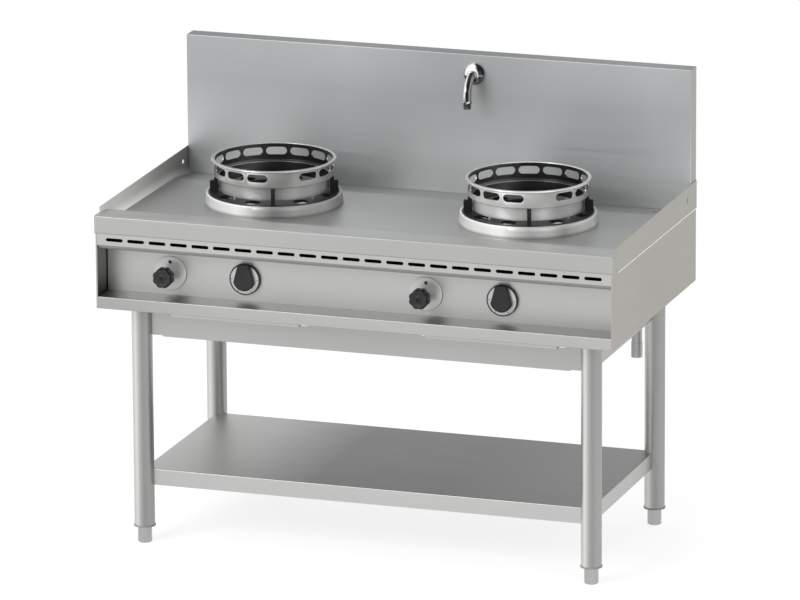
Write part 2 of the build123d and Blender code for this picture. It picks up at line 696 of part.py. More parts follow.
with BuildPart() as leg_bolts:
    for place in leg_bolts_at:
        with BuildSketch(Plane.XY.offset(LEG_TOP - HEX_HEIGHT)):
            with Locations(place):
                RegularPolygon(HEX_HEAD / 2, 6, major_radius=False)
        extrude(amount=HEX_HEIGHT)
        with BuildSketch(Plane.XY.offset(LEG_TOP)):
            with Locations(place):
                Circle(LEG_BOLT / 2)
        extrude(amount=SOCKET_THICKNESS + SHEET)
        with BuildSketch(Plane.XY.offset(BODY_BOTTOM + SHEET)):
            with Locations(place):
                RegularPolygon(HEX_HEAD / 2, 6, major_radius=False)
        extrude(amount=NUT_HEIGHT)
finish(leg_bolts.part, "leg_bolts")

# ---- stand: front apron and undershelf -----------------------------------------------
plate_end = LEG_X - SOCKET_PLATE / 2 - SEAT_GAP
apron_line = [
    (-APRON_HALF, APRON_BOTTOM + APRON_STEP_HEIGHT),
    (-APRON_CHANNEL_HALF, APRON_BOTTOM + APRON_STEP_HEIGHT),
    (-APRON_CHANNEL_HALF, APRON_BOTTOM),
    (APRON_CHANNEL_HALF, APRON_BOTTOM),
    (APRON_CHANNEL_HALF, APRON_BOTTOM + APRON_STEP_HEIGHT),
    (APRON_HALF, APRON_BOTTOM + APRON_STEP_HEIGHT),
    (APRON_HALF, LEG_TOP - SEAT_GAP),
    (plate_end, LEG_TOP - SEAT_GAP),
    (plate_end, BODY_BOTTOM),
    (-plate_end, BODY_BOTTOM),
    (-plate_end, LEG_TOP - SEAT_GAP),
    (-APRON_HALF, LEG_TOP - SEAT_GAP),
]
with BuildPart() as front_apron:
    with BuildSketch(front_plane(0, APRON_Y + SHEET)):
        with BuildLine():
            Polyline(*apron_line, close=True)
        make_face()
        with Locations(*[(x, (TRAY_BOTTOM + TRAY_TOP) / 2) for _, x in BURNERS]):
            Rectangle(
                TRAY_WIDTH + 2 * TRAY_SLOT_MARGIN,
                TRAY_HEIGHT + 2 * TRAY_SLOT_MARGIN,
                mode=Mode.SUBTRACT,
            )
    extrude(amount=SHEET)
    for height in (APRON_BOTTOM, BODY_BOTTOM - SHEET):
        with BuildSketch(Plane.XY.offset(height)):
            with Locations((0, APRON_Y + APRON_RETURN / 2)):
                Rectangle(2 * APRON_CHANNEL_HALF, APRON_RETURN)
        extrude(amount=SHEET)
finish(front_apron.part, "front_apron")

side_apron_ends = (LEG_Y[0] + LEG_RADIUS + SEAT_GAP, LEG_Y[1] - LEG_RADIUS - SEAT_GAP)
side_plate_ends = (
    LEG_Y[0] + SOCKET_PLATE / 2 + SEAT_GAP,
    LEG_Y[1] - SOCKET_PLATE / 2 - SEAT_GAP,
)
side_apron_line = [
    (side_apron_ends[0], APRON_BOTTOM + APRON_STEP_HEIGHT),
    (side_apron_ends[1], APRON_BOTTOM + APRON_STEP_HEIGHT),
    (side_apron_ends[1], LEG_TOP - SEAT_GAP),
    (side_plate_ends[1], LEG_TOP - SEAT_GAP),
    (side_plate_ends[1], BODY_BOTTOM),
    (side_plate_ends[0], BODY_BOTTOM),
    (side_plate_ends[0], LEG_TOP - SEAT_GAP),
    (side_apron_ends[0], LEG_TOP - SEAT_GAP),
]
side_apron_x = LEG_X + SHEET / 2
for name, side in (("left_side_apron", -1), ("right_side_apron", 1)):
    with BuildPart() as side_apron:
        with BuildSketch(Plane.YZ.offset(side * side_apron_x)):
            with BuildLine():
                Polyline(*side_apron_line, close=True)
            make_face()
        extrude(amount=-side * SHEET)
        with BuildSketch(Plane.XY.offset(BODY_BOTTOM - SHEET)):
            with Locations((
                side * (side_apron_x - APRON_RETURN / 2),
                (side_plate_ends[0] + side_plate_ends[1]) / 2,
            )):
                Rectangle(APRON_RETURN, side_plate_ends[1] - side_plate_ends[0])
        extrude(amount=SHEET)
    finish(side_apron.part, name)

shelf_depth = LEG_Y[1] - LEG_Y[0]
shelf_y = (LEG_Y[1] + LEG_Y[0]) / 2
with BuildPart() as undershelf:
    with BuildSketch(Plane.XY.offset(SHELF_TOP - SHELF_EDGE)):
        with Locations((0, shelf_y)):
            Rectangle(2 * LEG_X, shelf_depth)
    extrude(amount=SHELF_EDGE)
    fillet(edges().group_by(Axis.Z)[-1], BEND / 2)
    offset(amount=-SHEET, openings=faces().sort_by(Axis.Z)[0])
    with BuildSketch(Plane.XY.offset(SHELF_TOP - SHELF_EDGE)):
        with Locations((0, shelf_y)):
            Rectangle(2 * (LEG_X - SHEET / 2), shelf_depth - SHEET)
            Rectangle(2 * (LEG_X - SHELF_RETURN), shelf_depth - 2 * SHELF_RETURN, mode=Mode.SUBTRACT)
    extrude(amount=SHEET)
    with BuildSketch(Plane.XY.offset(SHELF_TOP - 2 * SHELF_EDGE)):
        with Locations(*CORNERS):
            Circle(LEG_RADIUS + SHELF_LEG_CLEARANCE)
    extrude(amount=3 * SHELF_EDGE, mode=Mode.SUBTRACT)
finish(undershelf.part, "undershelf")

under_shelf = SHELF_TOP - SHEET
stiffener_line = [
    (shelf_y - STIFFENER_WIDTH / 2 - STIFFENER_FOOT, under_shelf),
    (shelf_y - STIFFENER_WIDTH / 2, under_shelf),
    (shelf_y - STIFFENER_WIDTH / 2, under_shelf - STIFFENER_HEIGHT),
    (shelf_y + STIFFENER_WIDTH / 2, under_shelf - STIFFENER_HEIGHT),
    (shelf_y + STIFFENER_WIDTH / 2, under_shelf),
    (shelf_y + STIFFENER_WIDTH / 2 + STIFFENER_FOOT, under_shelf),
]
with BuildPart() as shelf_stiffener:
    with BuildSketch(Plane.YZ):
        with BuildLine():
            FilletPolyline(*stiffener_line, radius=BEND)
            offset(amount=SHEET, side=Side.RIGHT)
        make_face()
    extrude(amount=LEG_X - SHELF_RETURN, both=True)
finish(shelf_stiffener.part, "shelf_stiffener")

# ---- drip trays and their runners ----------------------------------------------------
tray_body = TRAY_WIDTH - 2 * TRAY_SIDE_INSET
for name, x in BURNERS:
    with BuildPart() as drip_tray:
        with BuildSketch(Plane.XY.offset(TRAY_BOTTOM)):
            with Locations((x, TRAY_Y + TRAY_DEPTH / 2)):
                Rectangle(tray_body, TRAY_DEPTH)
        extrude(amount=TRAY_HEIGHT)
        fillet(edges().filter_by(Axis.Z), BEND)
        offset(amount=-SHEET, openings=faces().sort_by(Axis.Z)[-1])
        with BuildSketch(Plane.XY.offset(TRAY_TOP - SHEET)):
            with Locations((x, TRAY_Y + TRAY_DEPTH / 2)):
                Rectangle(TRAY_WIDTH, TRAY_DEPTH)
                Rectangle(tray_body - 2 * SHEET, TRAY_DEPTH - 2 * SHEET, mode=Mode.SUBTRACT)
        extrude(amount=SHEET)
    finish(drip_tray.part, f"{name}_drip_tray")

runner_front = APRON_Y + APRON_RETURN + SEAT_GAP
runner_length = TRAY_Y + TRAY_DEPTH - runner_front
ledge_z = TRAY_TOP - SHEET - SEAT_GAP - RUNNER_THICKNESS
with BuildPart() as tray_runners:
    for _, x in BURNERS:
        for side in (-1, 1):
            web = x + side * (TRAY_WIDTH / 2 + TRAY_SLOT_MARGIN)
            with BuildSketch(Plane.XY.offset(ledge_z)):
                with Locations((web - side * RUNNER_LEDGE / 2, runner_front + runner_length / 2)):
                    Rectangle(RUNNER_LEDGE, runner_length)
            extrude(amount=RUNNER_THICKNESS)
            with BuildSketch(Plane.XY.offset(ledge_z)):
                with Locations((web - side * RUNNER_THICKNESS / 2, runner_front + runner_length / 2)):
                    Rectangle(RUNNER_THICKNESS, runner_length)
            extrude(amount=BODY_BOTTOM - ledge_z)
finish(tray_runners.part, "tray_runners")

# ---- burners: collar, bowl, pan support, wok ring, head and mixing tube ----------------
collar_slope = (COLLAR_BASE_RADIUS - COLLAR_TOP_RADIUS) / COLLAR_HEIGHT
skirt_z = GUTTER_Z
skirt_radius = COLLAR_TOP_RADIUS + collar_slope * (COLLAR_TOP - skirt_z)
cavity_top = COLLAR_TOP - COLLAR_WALL
collar_section = [
    (skirt_radius, skirt_z),
    (COLLAR_TOP_RADIUS, COLLAR_TOP),
    (COLLAR_INNER, COLLAR_TOP),
    (COLLAR_INNER, LEDGE_TOP),
    (COLLAR_SPIGOT_RADIUS, LEDGE_TOP),
    (COLLAR_SPIGOT_RADIUS, LEDGE_TOP - COLLAR_WALL),
    (COLLAR_INNER + COLLAR_WALL, LEDGE_TOP - COLLAR_WALL),
    (COLLAR_INNER + COLLAR_WALL, cavity_top),
    (COLLAR_TOP_RADIUS - COLLAR_WALL + collar_slope * COLLAR_WALL, cavity_top),
    (skirt_radius - COLLAR_WALL, skirt_z),
]
under_deck = [
    (FRONT, DECK_Z),
    (GUTTER_FOLD, DECK_Z),
    (SPLASH_FRONT, GUTTER_Z),
    (SPLASH_FRONT, GUTTER_Z - GUTTER_FALL),
    (FRONT, GUTTER_Z - GUTTER_FALL),
]
wall_tilt = (BOWL_THROAT_RADIUS - BOWL_MOUTH_RADIUS) / BOWL_DEPTH
wall_across = BOWL_WALL * math.hypot(1, wall_tilt)
bowl_section = [
    (COLLAR_INNER - CROWN_CLEARANCE, BOWL_TOP),
    (BOWL_THROAT_RADIUS, BOWL_TOP),
    (BOWL_MOUTH_RADIUS, BOWL_BOTTOM),
    (BOWL_MOUTH_RADIUS + wall_across, BOWL_BOTTOM),
    (BOWL_THROAT_RADIUS + wall_across - wall_tilt * BOWL_WALL, LEDGE_TOP),
    (COLLAR_INNER - CROWN_CLEARANCE, LEDGE_TOP),
]
crown_section = [
    (CROWN_INNER_RADIUS, CROWN_TOP - CROWN_PLATE),
    (CROWN_RADIUS - CROWN_SKIRT, CROWN_TOP - CROWN_PLATE),
    (CROWN_RADIUS - CROWN_SKIRT, BOWL_TOP),
    (CROWN_RADIUS, BOWL_TOP),
    (CROWN_RADIUS, CROWN_TOP),
    (CROWN_INNER_RADIUS, CROWN_TOP),
]
lug_section = [
    (LUG_INNER, CROWN_TOP - CROWN_PLATE / 2),
    (LUG_INNER, LUG_TOP),
    (LUG_INNER + LUG_TOP_WIDTH, LUG_TOP),
    (LUG_INNER + LUG_SHOULDER, CROWN_TOP + LUG_NOSE),
    (LUG_FOOT_RADIUS - LUG_CHAMFER, CROWN_TOP + LUG_NOSE),
    (LUG_FOOT_RADIUS, CROWN_TOP + LUG_NOSE - LUG_CHAMFER),
    (LUG_FOOT_RADIUS, CROWN_TOP - CROWN_PLATE / 2),
]
ring_section = [
    (RING_LOWER_RADIUS - RING_WALL, RING_BOTTOM),
    (RING_LOWER_RADIUS, RING_BOTTOM),
    (RING_LOWER_RADIUS, RING_SHOULDER - RING_WALL),
    (RING_BAND_RADIUS, RING_SHOULDER - RING_WALL),
    (RING_BAND_RADIUS, RING_TOP - RING_BEAD_HEIGHT),
    (RING_BEAD_RADIUS, RING_TOP - RING_BEAD_HEIGHT),
    (RING_BEAD_RADIUS, RING_TOP),
    (RING_BAND_RADIUS - RING_WALL, RING_TOP),
    (RING_BAND_RADIUS - RING_WALL, RING_SHOULDER),
    (RING_LOWER_RADIUS - RING_WALL, RING_SHOULDER),
]
ring_hole_z = RING_TOP - RING_HOLE_DROP
port_circle = HEAD_RADIUS - HEAD_PORT_IN
for name, x in BURNERS:
    y = BURNER_CENTRE_Y
    lug_angles = [LUG_START + 360 * i / LUG_COUNT for i in range(LUG_COUNT)]

    with BuildPart() as collar:
        with BuildSketch(front_plane(x, y)):
            with BuildLine():
                Polyline(*collar_section, close=True)
            make_face()
        revolve(axis=upright_axis(x, y))
        top_edges = edges().filter_by(GeomType.CIRCLE).group_by(Axis.Z)[-1]
        fillet(top_edges.sort_by(SortBy.RADIUS)[-1], COLLAR_TOP_BAND)
        with BuildSketch(Plane.YZ.offset(x)):
            with BuildLine():
                Polyline(*under_deck, close=True)
            make_face()
        extrude(amount=skirt_radius, both=True, mode=Mode.SUBTRACT)
        with BuildSketch(Plane.XY.offset(LEDGE_TOP)):
            with Locations((x, y)):
                Circle(COLLAR_SPIGOT_RADIUS)
                Circle(COLLAR_SPIGOT_RADIUS - COLLAR_WALL, mode=Mode.SUBTRACT)
        extrude(amount=DECK_Z - COLLAR_SPIGOT_DROP - LEDGE_TOP)
    finish(collar.part, f"{name}_burner_collar")

    pilot_x, pilot_y = x + SAFETY_OFFSET, y + PILOT_OFFSET_Y
    with BuildPart() as bowl:
        with BuildSketch(front_plane(x, y)):
            with BuildLine():
                Polyline(*bowl_section, close=True)
            make_face()
        revolve(axis=upright_axis(x, y))
        with BuildSketch(Plane.XY.offset(BOWL_BOTTOM)):
            with Locations((pilot_x, pilot_y)):
                Circle(PILOT_HOLE / 2)
        extrude(amount=BOWL_DEPTH, mode=Mode.SUBTRACT)
    finish(bowl.part, f"{name}_burner_bowl")

    with BuildPart() as pan_support:
        with BuildSketch(front_plane(x, y)):
            with BuildLine():
                Polyline(*crown_section, close=True)
            make_face()
        revolve(axis=upright_axis(x, y))
        with BuildSketch(Plane.XY.offset(CROWN_TOP)):
            with Locations(*[
                around(x, y, CROWN_HOLE_RADIUS, angle + shift)[:2]
                for angle in lug_angles
                for shift in (CROWN_HOLE_TURN - CROWN_HOLE_ANGLE, CROWN_HOLE_TURN + CROWN_HOLE_ANGLE)
            ]):
                Circle(CROWN_HOLE / 2)
        extrude(amount=-CROWN_PLATE, mode=Mode.SUBTRACT)
        for angle in lug_angles:
            with BuildSketch(radial_plane(x, y, angle)):
                with BuildLine():
                    Polyline(*lug_section, close=True)
                make_face()
            extrude(amount=LUG_THICKNESS / 2, both=True)
    finish(pan_support.part, f"{name}_pan_support")

    with BuildPart() as wok_ring:
        with BuildSketch(front_plane(x, y)):
            with BuildLine():
                Polyline(*ring_section, close=True)
            make_face()
        revolve(axis=upright_axis(x, y))
        bead = edges().filter_by(GeomType.CIRCLE).sort_by(SortBy.RADIUS)[-2:]
        fillet(bead, RING_BEAD_HEIGHT / 2 - SEAT_GAP)
        for i in range(RING_HOLES):
            angle = RING_HOLE_START + RING_HOLE_STEP * i
            centre = around(x, y, RING_LOWER_RADIUS, angle, ring_hole_z)
            out = around(0, 0, 1, angle)
            with BuildSketch(Plane(centre, x_dir=(-out[1], out[0], 0), z_dir=out)):
                SlotOverall(RING_HOLE_LENGTH, RING_HOLE_HEIGHT)
            extrude(amount=RING_BAND_RADIUS - RING_LOWER_RADIUS + RING_WALL, mode=Mode.SUBTRACT)
        for angle in lug_angles:
            with BuildSketch(radial_plane(x, y, angle + 180 / LUG_COUNT)):
                with Locations((
                    RING_LOWER_RADIUS - RING_WALL / 2,
                    (CROWN_TOP + SEAT_GAP + RING_BOTTOM + RING_WALL) / 2,
                )):
                    Rectangle(RING_WALL / 2, RING_BOTTOM + RING_WALL - CROWN_TOP - SEAT_GAP)
            extrude(amount=RING_FOOT_WIDTH / 2, both=True)
    finish(wok_ring.part, f"{name}_wok_ring")

    with BuildPart() as burner_head:
        with BuildSketch(Plane.XY.offset(HEAD_BOTTOM)):
            with Locations((x, y)):
                Circle(HEAD_RADIUS)
        extrude(amount=HEAD_HEIGHT)
        fillet(edges().group_by(Axis.Z)[-1], HEAD_PORT)
        with BuildSketch(Plane.XY.offset(HEAD_TOP)):
            with Locations((x, y)):
                with PolarLocations(port_circle, HEAD_PORTS):
                    Circle(HEAD_PORT / 2)
                Circle(HEAD_CROWN_RADIUS)
                Circle(HEAD_CROWN_RADIUS - HEAD_PORT, mode=Mode.SUBTRACT)
        extrude(amount=-HEAD_PORT, mode=Mode.SUBTRACT)
        pipe(
            [(x, y, HEAD_BOTTOM), (x, y, MIXER_Z), (x, FRONT + MIXER_FRONT, MIXER_Z)],
            MIXER_RADIUS,
            MIXER_BEND,
            MIXER_BORE,
        )
        with BuildSketch(front_plane(x, FRONT + MIXER_FRONT + BELL_LENGTH, MIXER_Z)):
            Circle(MIXER_RADIUS)
            Circle(MIXER_BORE, mode=Mode.SUBTRACT)
        with BuildSketch(front_plane(x, FRONT + MIXER_FRONT, MIXER_Z)):
            Circle(BELL_RADIUS)
            Circle(BELL_RADIUS - MIXER_RADIUS + MIXER_BORE, mode=Mode.SUBTRACT)
        loft(clean=False)
        foot_top = MIXER_Z - (MIXER_RADIUS + MIXER_BORE) / 2
        with BuildSketch(Plane.XY.offset(BODY_BOTTOM + SHEET)):
            with Locations((x, FRONT + MIXER_FRONT + MIXER_FOOT_IN)):
                Rectangle(MIXER_FOOT_WIDTH, MIXER_FOOT_DEPTH)
        extrude(amount=foot_top - BODY_BOTTOM - SHEET)
    finish(burner_head.part, f"{name}_burner_head")

# ---- pilot burners and the gas train --------------------------------------------------
pilots_at = [(x + SAFETY_OFFSET, BURNER_CENTRE_Y + PILOT_OFFSET_Y) for _, x in BURNERS]
with BuildPart() as pilot_burners:
    with BuildSketch(Plane.XY.offset(PILOT_BOTTOM)):
        with Locations(*pilots_at):
            Circle(PILOT_RADIUS)
    extrude(amount=HEAD_TOP + PILOT_TOP_RISE - PILOT_BOTTOM)
    with BuildSketch(Plane.XY.offset(HEAD_TOP + PILOT_TOP_RISE - PILOT_RADIUS)):
        with Locations(*pilots_at):
            Circle(PILOT_RADIUS + PILOT_LIP)
    extrude(amount=PILOT_RADIUS)
finish(pilot_burners.part, "pilot_burners")

manifold_centre = FRONT + MANIFOLD_Y
tap_front = PANEL_Y + SHEET
tap_rear = tap_front + TAP_LENGTH
valve_rear = tap_front + VALVE_LENGTH
feed_centre = FRONT + FEED_Y
with BuildPart() as gas_manifold:
    with BuildSketch(Plane.YZ):
        with Locations((manifold_centre, CONTROL_Z)):
            Circle(MANIFOLD_RADIUS)
    extrude(amount=MANIFOLD_HALF, both=True)
    with BuildSketch(*[
        front_plane(x + SAFETY_OFFSET, tap_rear, CONTROL_Z) for _, x in BURNERS
    ]):
        Circle(BOSS_RADIUS)
    extrude(amount=tap_rear - manifold_centre)
    pipe(
        [(GAS_X, manifold_centre, CONTROL_Z), (GAS_X, GAS_Y, CONTROL_Z), (GAS_X, GAS_Y, GAS_END)],
        GAS_PIPE_RADIUS,
        GAS_PIPE_BEND,
    )
    with BuildSketch(Plane.XY.offset(GAS_END)):
        with Locations((GAS_X, GAS_Y)):
            Circle(GAS_THREAD_RADIUS)
    extrude(amount=GAS_THREAD_LENGTH)
    with BuildSketch(Plane.XY.offset(GAS_END)):
        with Locations((GAS_X, GAS_Y)):
            Circle(GAS_BORE)
    extrude(amount=GAS_THREAD_LENGTH, mode=Mode.SUBTRACT)
finish(gas_manifold.part, "gas_manifold")

with BuildPart() as gas_pipes:
    for _, x in BURNERS:
        tap_x = x + SAFETY_OFFSET
        valve_x = x + REGULATOR_OFFSET
        link_start = valve_x + VALVE_DIAMETER / 2 + SEAT_GAP
        with BuildSketch(Plane.YZ.offset(link_start)):
            with Locations((feed_centre, CONTROL_Z)):
                Circle(FEED_RADIUS)
        extrude(amount=tap_x - TAP_WIDTH / 2 - link_start)
        pipe(
            [
                (valve_x, feed_centre, CONTROL_Z - VALVE_DIAMETER / 2 - SEAT_GAP),
                (valve_x, feed_centre, MIXER_Z),
                (x, feed_centre, MIXER_Z),
                (x, FRONT + MIXER_FRONT - INJECTOR_LENGTH, MIXER_Z),
            ],
            FEED_RADIUS,
            FEED_BEND,
        )
        with BuildSketch(front_plane(x, FRONT + MIXER_FRONT - INJECTOR_LENGTH / 2, MIXER_Z)):
            Circle(INJECTOR_RADIUS)
        extrude(amount=INJECTOR_LENGTH)
        pipe(
            [
                (tap_x, feed_centre, TAP_TOP),
                (tap_x, feed_centre, PILOT_LINE_Z),
                (tap_x, BURNER_CENTRE_Y + PILOT_OFFSET_Y, PILOT_LINE_Z),
                (tap_x, BURNER_CENTRE_Y + PILOT_OFFSET_Y, PILOT_BOTTOM),
            ],
            PILOT_LINE_RADIUS,
            PILOT_LINE_BEND,
        )
finish(gas_pipes.part, "gas_pipes")

# ---- controls: taps, valves, knobs and handwheels --------------------------------------
with BuildPart() as regulating_valves:
    for _, x in BURNERS:
        valve_x = x + REGULATOR_OFFSET
        with BuildSketch(front_plane(valve_x, valve_rear, CONTROL_Z)):
            Circle(VALVE_DIAMETER / 2)
        extrude(amount=VALVE_LENGTH)
        with BuildSketch(front_plane(valve_x, tap_front, CONTROL_Z)):
            Circle(SPINDLE_DIAMETER / 2 + RUNNING_CLEARANCE)
        extrude(amount=-VALVE_BORE_DEPTH, mode=Mode.SUBTRACT)
finish(regulating_valves.part, "regulating_valves")

disc_front = PANEL_Y - DISC_THICKNESS
dial_front = PANEL_Y - BEZEL_BASE - DIAL_THICKNESS
knob_back = dial_front - KNOB_GAP
with BuildPart() as dial_plates:
    for _, x in BURNERS:
        valve_x = x + REGULATOR_OFFSET
        with BuildSketch(front_plane(valve_x, PANEL_Y, CONTROL_Z)):
            Circle(DISC_DIAMETER / 2)
            Circle(SPINDLE_DIAMETER / 2 + SHEET, mode=Mode.SUBTRACT)
        extrude(amount=DISC_THICKNESS)
        with BuildSketch(front_plane(valve_x, disc_front, CONTROL_Z)):
            with Locations((0, DISC_MARK_RADIUS)):
                Circle(DISC_MARK / 2)
        extrude(amount=-MARK_DEPTH, mode=Mode.SUBTRACT)
        with BuildSketch(front_plane(x + SAFETY_OFFSET, PANEL_Y - BEZEL_BASE, CONTROL_Z)):
            Circle(BEZEL_DIAMETER / 2 - BEZEL_WALL - SEAT_GAP)
            Circle(DIAL_BORE / 2, mode=Mode.SUBTRACT)
        extrude(amount=DIAL_THICKNESS)
finish(dial_plates.part, "dial_plates")

for name, x in BURNERS:
    tap_x = x + SAFETY_OFFSET
    valve_x = x + REGULATOR_OFFSET

    with BuildPart() as safety_tap:
        with BuildSketch(front_plane(tap_x, tap_rear, CONTROL_Z)):
            RectangleRounded(TAP_WIDTH, TAP_HEIGHT, BEND)
        extrude(amount=TAP_LENGTH)
        with BuildSketch(front_plane(tap_x, tap_front, CONTROL_Z)):
            Circle(PLUG_DIAMETER / 2 + RUNNING_CLEARANCE)
        extrude(amount=-PLUG_LENGTH - 2 * SEAT_GAP, mode=Mode.SUBTRACT)
    finish(safety_tap.part, f"{name}_safety_tap")

    with BuildPart() as tap_plug:
        with BuildSketch(front_plane(tap_x, tap_front + SEAT_GAP, CONTROL_Z)):
            Circle(PLUG_DIAMETER / 2)
            Circle(SPINDLE_DIAMETER / 2 + RUNNING_CLEARANCE, mode=Mode.SUBTRACT)
        extrude(amount=-PLUG_LENGTH)
    finish(tap_plug.part, f"{name}_tap_plug")

    with BuildPart() as bezel:
        with BuildSketch(front_plane(tap_x, PANEL_Y, CONTROL_Z)):
            Circle(BEZEL_DIAMETER / 2)
            Circle(DIAL_BORE / 2, mode=Mode.SUBTRACT)
        extrude(amount=BEZEL_BASE)
        with BuildSketch(front_plane(tap_x, PANEL_Y, CONTROL_Z)):
            Circle(BEZEL_DIAMETER / 2)
            Circle(BEZEL_DIAMETER / 2 - BEZEL_WALL, mode=Mode.SUBTRACT)
        extrude(amount=BEZEL_HEIGHT)
        fillet(edges().group_by(Axis.Y)[0].sort_by(SortBy.RADIUS)[-1], DISC_BEVEL)
    finish(bezel.part, f"{name}_knob_bezel")

    with BuildPart() as safety_knob:
        with BuildSketch(front_plane(tap_x, knob_back, CONTROL_Z)):
            Circle(KNOB_DIAMETER / 2)
        extrude(amount=KNOB_HEIGHT)
        fillet(edges().group_by(Axis.Y)[0], KNOB_TAPER)
        with BuildSketch(front_plane(tap_x, knob_back, CONTROL_Z)):
            with BuildLine():
                Polyline(
                    (-KNOB_POINTER_FOOT / 2, 0),
                    (-KNOB_POINTER_TIP / 2, KNOB_POINTER),
                    (KNOB_POINTER_TIP / 2, KNOB_POINTER),
                    (KNOB_POINTER_FOOT / 2, 0),
                    close=True,
                )
            make_face()
        extrude(amount=KNOB_HEIGHT)
        with BuildSketch(front_plane(tap_x, knob_back, CONTROL_Z)):
            Circle(SPINDLE_DIAMETER / 2)
        extrude(amount=-SPINDLE_REACH)
    finish(safety_knob.part, f"{name}_safety_knob")

    with BuildPart() as handwheel:
        with BuildSketch(front_plane(valve_x, disc_front - WHEEL_STAND_OFF + WHEEL_LENGTH, CONTROL_Z)):
            Circle(WHEEL_DIAMETER / 2)
            with PolarLocations(WHEEL_DIAMETER / 2 + WHEEL_FLUTE - WHEEL_FLUTE_BITE, WHEEL_LOBES):
                Circle(WHEEL_FLUTE, mode=Mode.SUBTRACT)
        extrude(amount=WHEEL_LENGTH)
        with BuildSketch(front_plane(valve_x, disc_front - WHEEL_STAND_OFF + WHEEL_LENGTH, CONTROL_Z)):
            Circle(WHEEL_HUB / 2)
        extrude(amount=-WHEEL_HUB_LENGTH)
        with BuildSketch(front_plane(valve_x, disc_front - WHEEL_STAND_OFF + WHEEL_LENGTH, CONTROL_Z)):
            Circle(SPINDLE_DIAMETER / 2)
        extrude(amount=-WHEEL_STAND_OFF - WHEEL_SPINDLE_IN + WHEEL_LENGTH)
    finish(handwheel.part, f"{name}_handwheel")

# ---- water tap, water pipe and drain ---------------------------------------------------
rosette_line = [
    (SPLASH_FRONT - ROSETTE_HEIGHT, TAP_Z + SPOUT_DIAMETER / 2 + ROSETTE_NECK),
    (SPLASH_FRONT - ROSETTE_HEIGHT, TAP_Z + SPOUT_DIAMETER / 2 + SEAT_GAP),
    (SPLASH_FRONT, TAP_Z + SPOUT_DIAMETER / 2 + SEAT_GAP),
    (SPLASH_FRONT, TAP_Z + ROSETTE_DIAMETER / 2),
    (SPLASH_FRONT - ROSETTE_RIM, TAP_Z + ROSETTE_DIAMETER / 2),
]
with BuildPart() as tap_rosette:
    with BuildSketch(Plane.YZ.offset(TAP_X)):
        with BuildLine():
            Polyline(*rosette_line)
            TangentArc(rosette_line[-1], rosette_line[0], tangent=(-1, 0))
        make_face()
    revolve(axis=depth_axis(TAP_X, TAP_Z))
finish(tap_rosette.part, "tap_rosette")

spout_back = SPLASH_FRONT - SEAT_GAP
spout_front = SPLASH_FRONT - SPOUT_REACH
with BuildPart() as tap_spout:
    pipe(
        [
            (TAP_X, spout_back, TAP_Z),
            (TAP_X, spout_front, TAP_Z),
            (TAP_X, spout_front, TAP_Z - SPOUT_DROP + AERATOR_LENGTH),
        ],
        SPOUT_DIAMETER / 2,
        SPOUT_BEND,
        SPOUT_BORE / 2,
    )
finish(tap_spout.part, "tap_spout")

nozzle_bottom = TAP_Z - SPOUT_DROP
aerator_top = nozzle_bottom + AERATOR_LENGTH
aerator_line = [
    (SPOUT_BORE / 2, nozzle_bottom),
    (NOZZLE_DIAMETER / 2 - NOZZLE_TAPER, nozzle_bottom),
    (NOZZLE_DIAMETER / 2, aerator_top - AERATOR_COLLAR),
    (AERATOR_DIAMETER / 2, aerator_top - AERATOR_COLLAR),
    (AERATOR_DIAMETER / 2, aerator_top),
    (SPOUT_BORE / 2, aerator_top),
]
with BuildPart() as tap_aerator:
    with BuildSketch(front_plane(TAP_X, spout_front)):
        with BuildLine():
            Polyline(*aerator_line, close=True)
        make_face()
    revolve(axis=upright_axis(TAP_X, spout_front))
    rims = edges().filter_by(GeomType.CIRCLE).sort_by(SortBy.RADIUS)[-2:]
    chamfer(rims, DISC_BEVEL)
finish(tap_aerator.part, "tap_aerator")

with BuildPart() as water_pipe:
    pipe(
        [(TAP_X, spout_back, TAP_Z), (TAP_X, WATER_Y, TAP_Z), (TAP_X, WATER_Y, WATER_END)],
        WATER_RADIUS,
        WATER_BEND,
        WATER_BORE,
    )
    with BuildSketch(Plane.XY.offset(WATER_END)):
        with Locations((TAP_X, WATER_Y)):
            Circle(WATER_THREAD_RADIUS)
            Circle(WATER_BORE, mode=Mode.SUBTRACT)
    extrude(amount=WATER_THREAD_LENGTH)
finish(water_pipe.part, "water_pipe")

drain_top = deck_height(DRAIN_Y)
gutter_slope = Plane(
    (DRAIN_X, DRAIN_Y, drain_top),
    x_dir=(1, 0, 0),
    z_dir=(0, GUTTER_FALL, GUTTER_WIDTH),
)
drain_run = [
    (DRAIN_X, DRAIN_Y, DRAIN_RUN_Z),
    (DRAIN_STUB_X, DRAIN_STUB_Y, DRAIN_RUN_Z),
    (DRAIN_STUB_X, DRAIN_STUB_Y, DRAIN_END),
]
with BuildPart() as drain_pipe:
    pipe([(DRAIN_X, DRAIN_Y, drain_top + DRAIN_RADIUS), *drain_run], DRAIN_RADIUS, DRAIN_BEND)
    with BuildSketch(gutter_slope):
        Circle(DRAIN_FLANGE)
    extrude(amount=DRAIN_FLANGE_THICKNESS)
    with BuildSketch(gutter_slope.offset(DRAIN_FLANGE_THICKNESS)):
        Circle(DRAIN_FLANGE)
    extrude(amount=DRAIN_FLANGE, mode=Mode.SUBTRACT)
    with BuildSketch(Plane.XY.offset(DRAIN_END)):
        with Locations((DRAIN_STUB_X, DRAIN_STUB_Y)):
            Circle(DRAIN_SPIGOT_RADIUS)
    extrude(amount=DRAIN_SPIGOT_LENGTH)
    pipe(
        [(DRAIN_X, DRAIN_Y, drain_top + DRAIN_FLANGE), *drain_run],
        DRAIN_BORE,
        DRAIN_BEND,
        mode=Mode.SUBTRACT,
    )
finish(drain_pipe.part, "drain_pipe")
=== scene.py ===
import json
import math
import bmesh
import bpy
from mathutils import Matrix, Vector


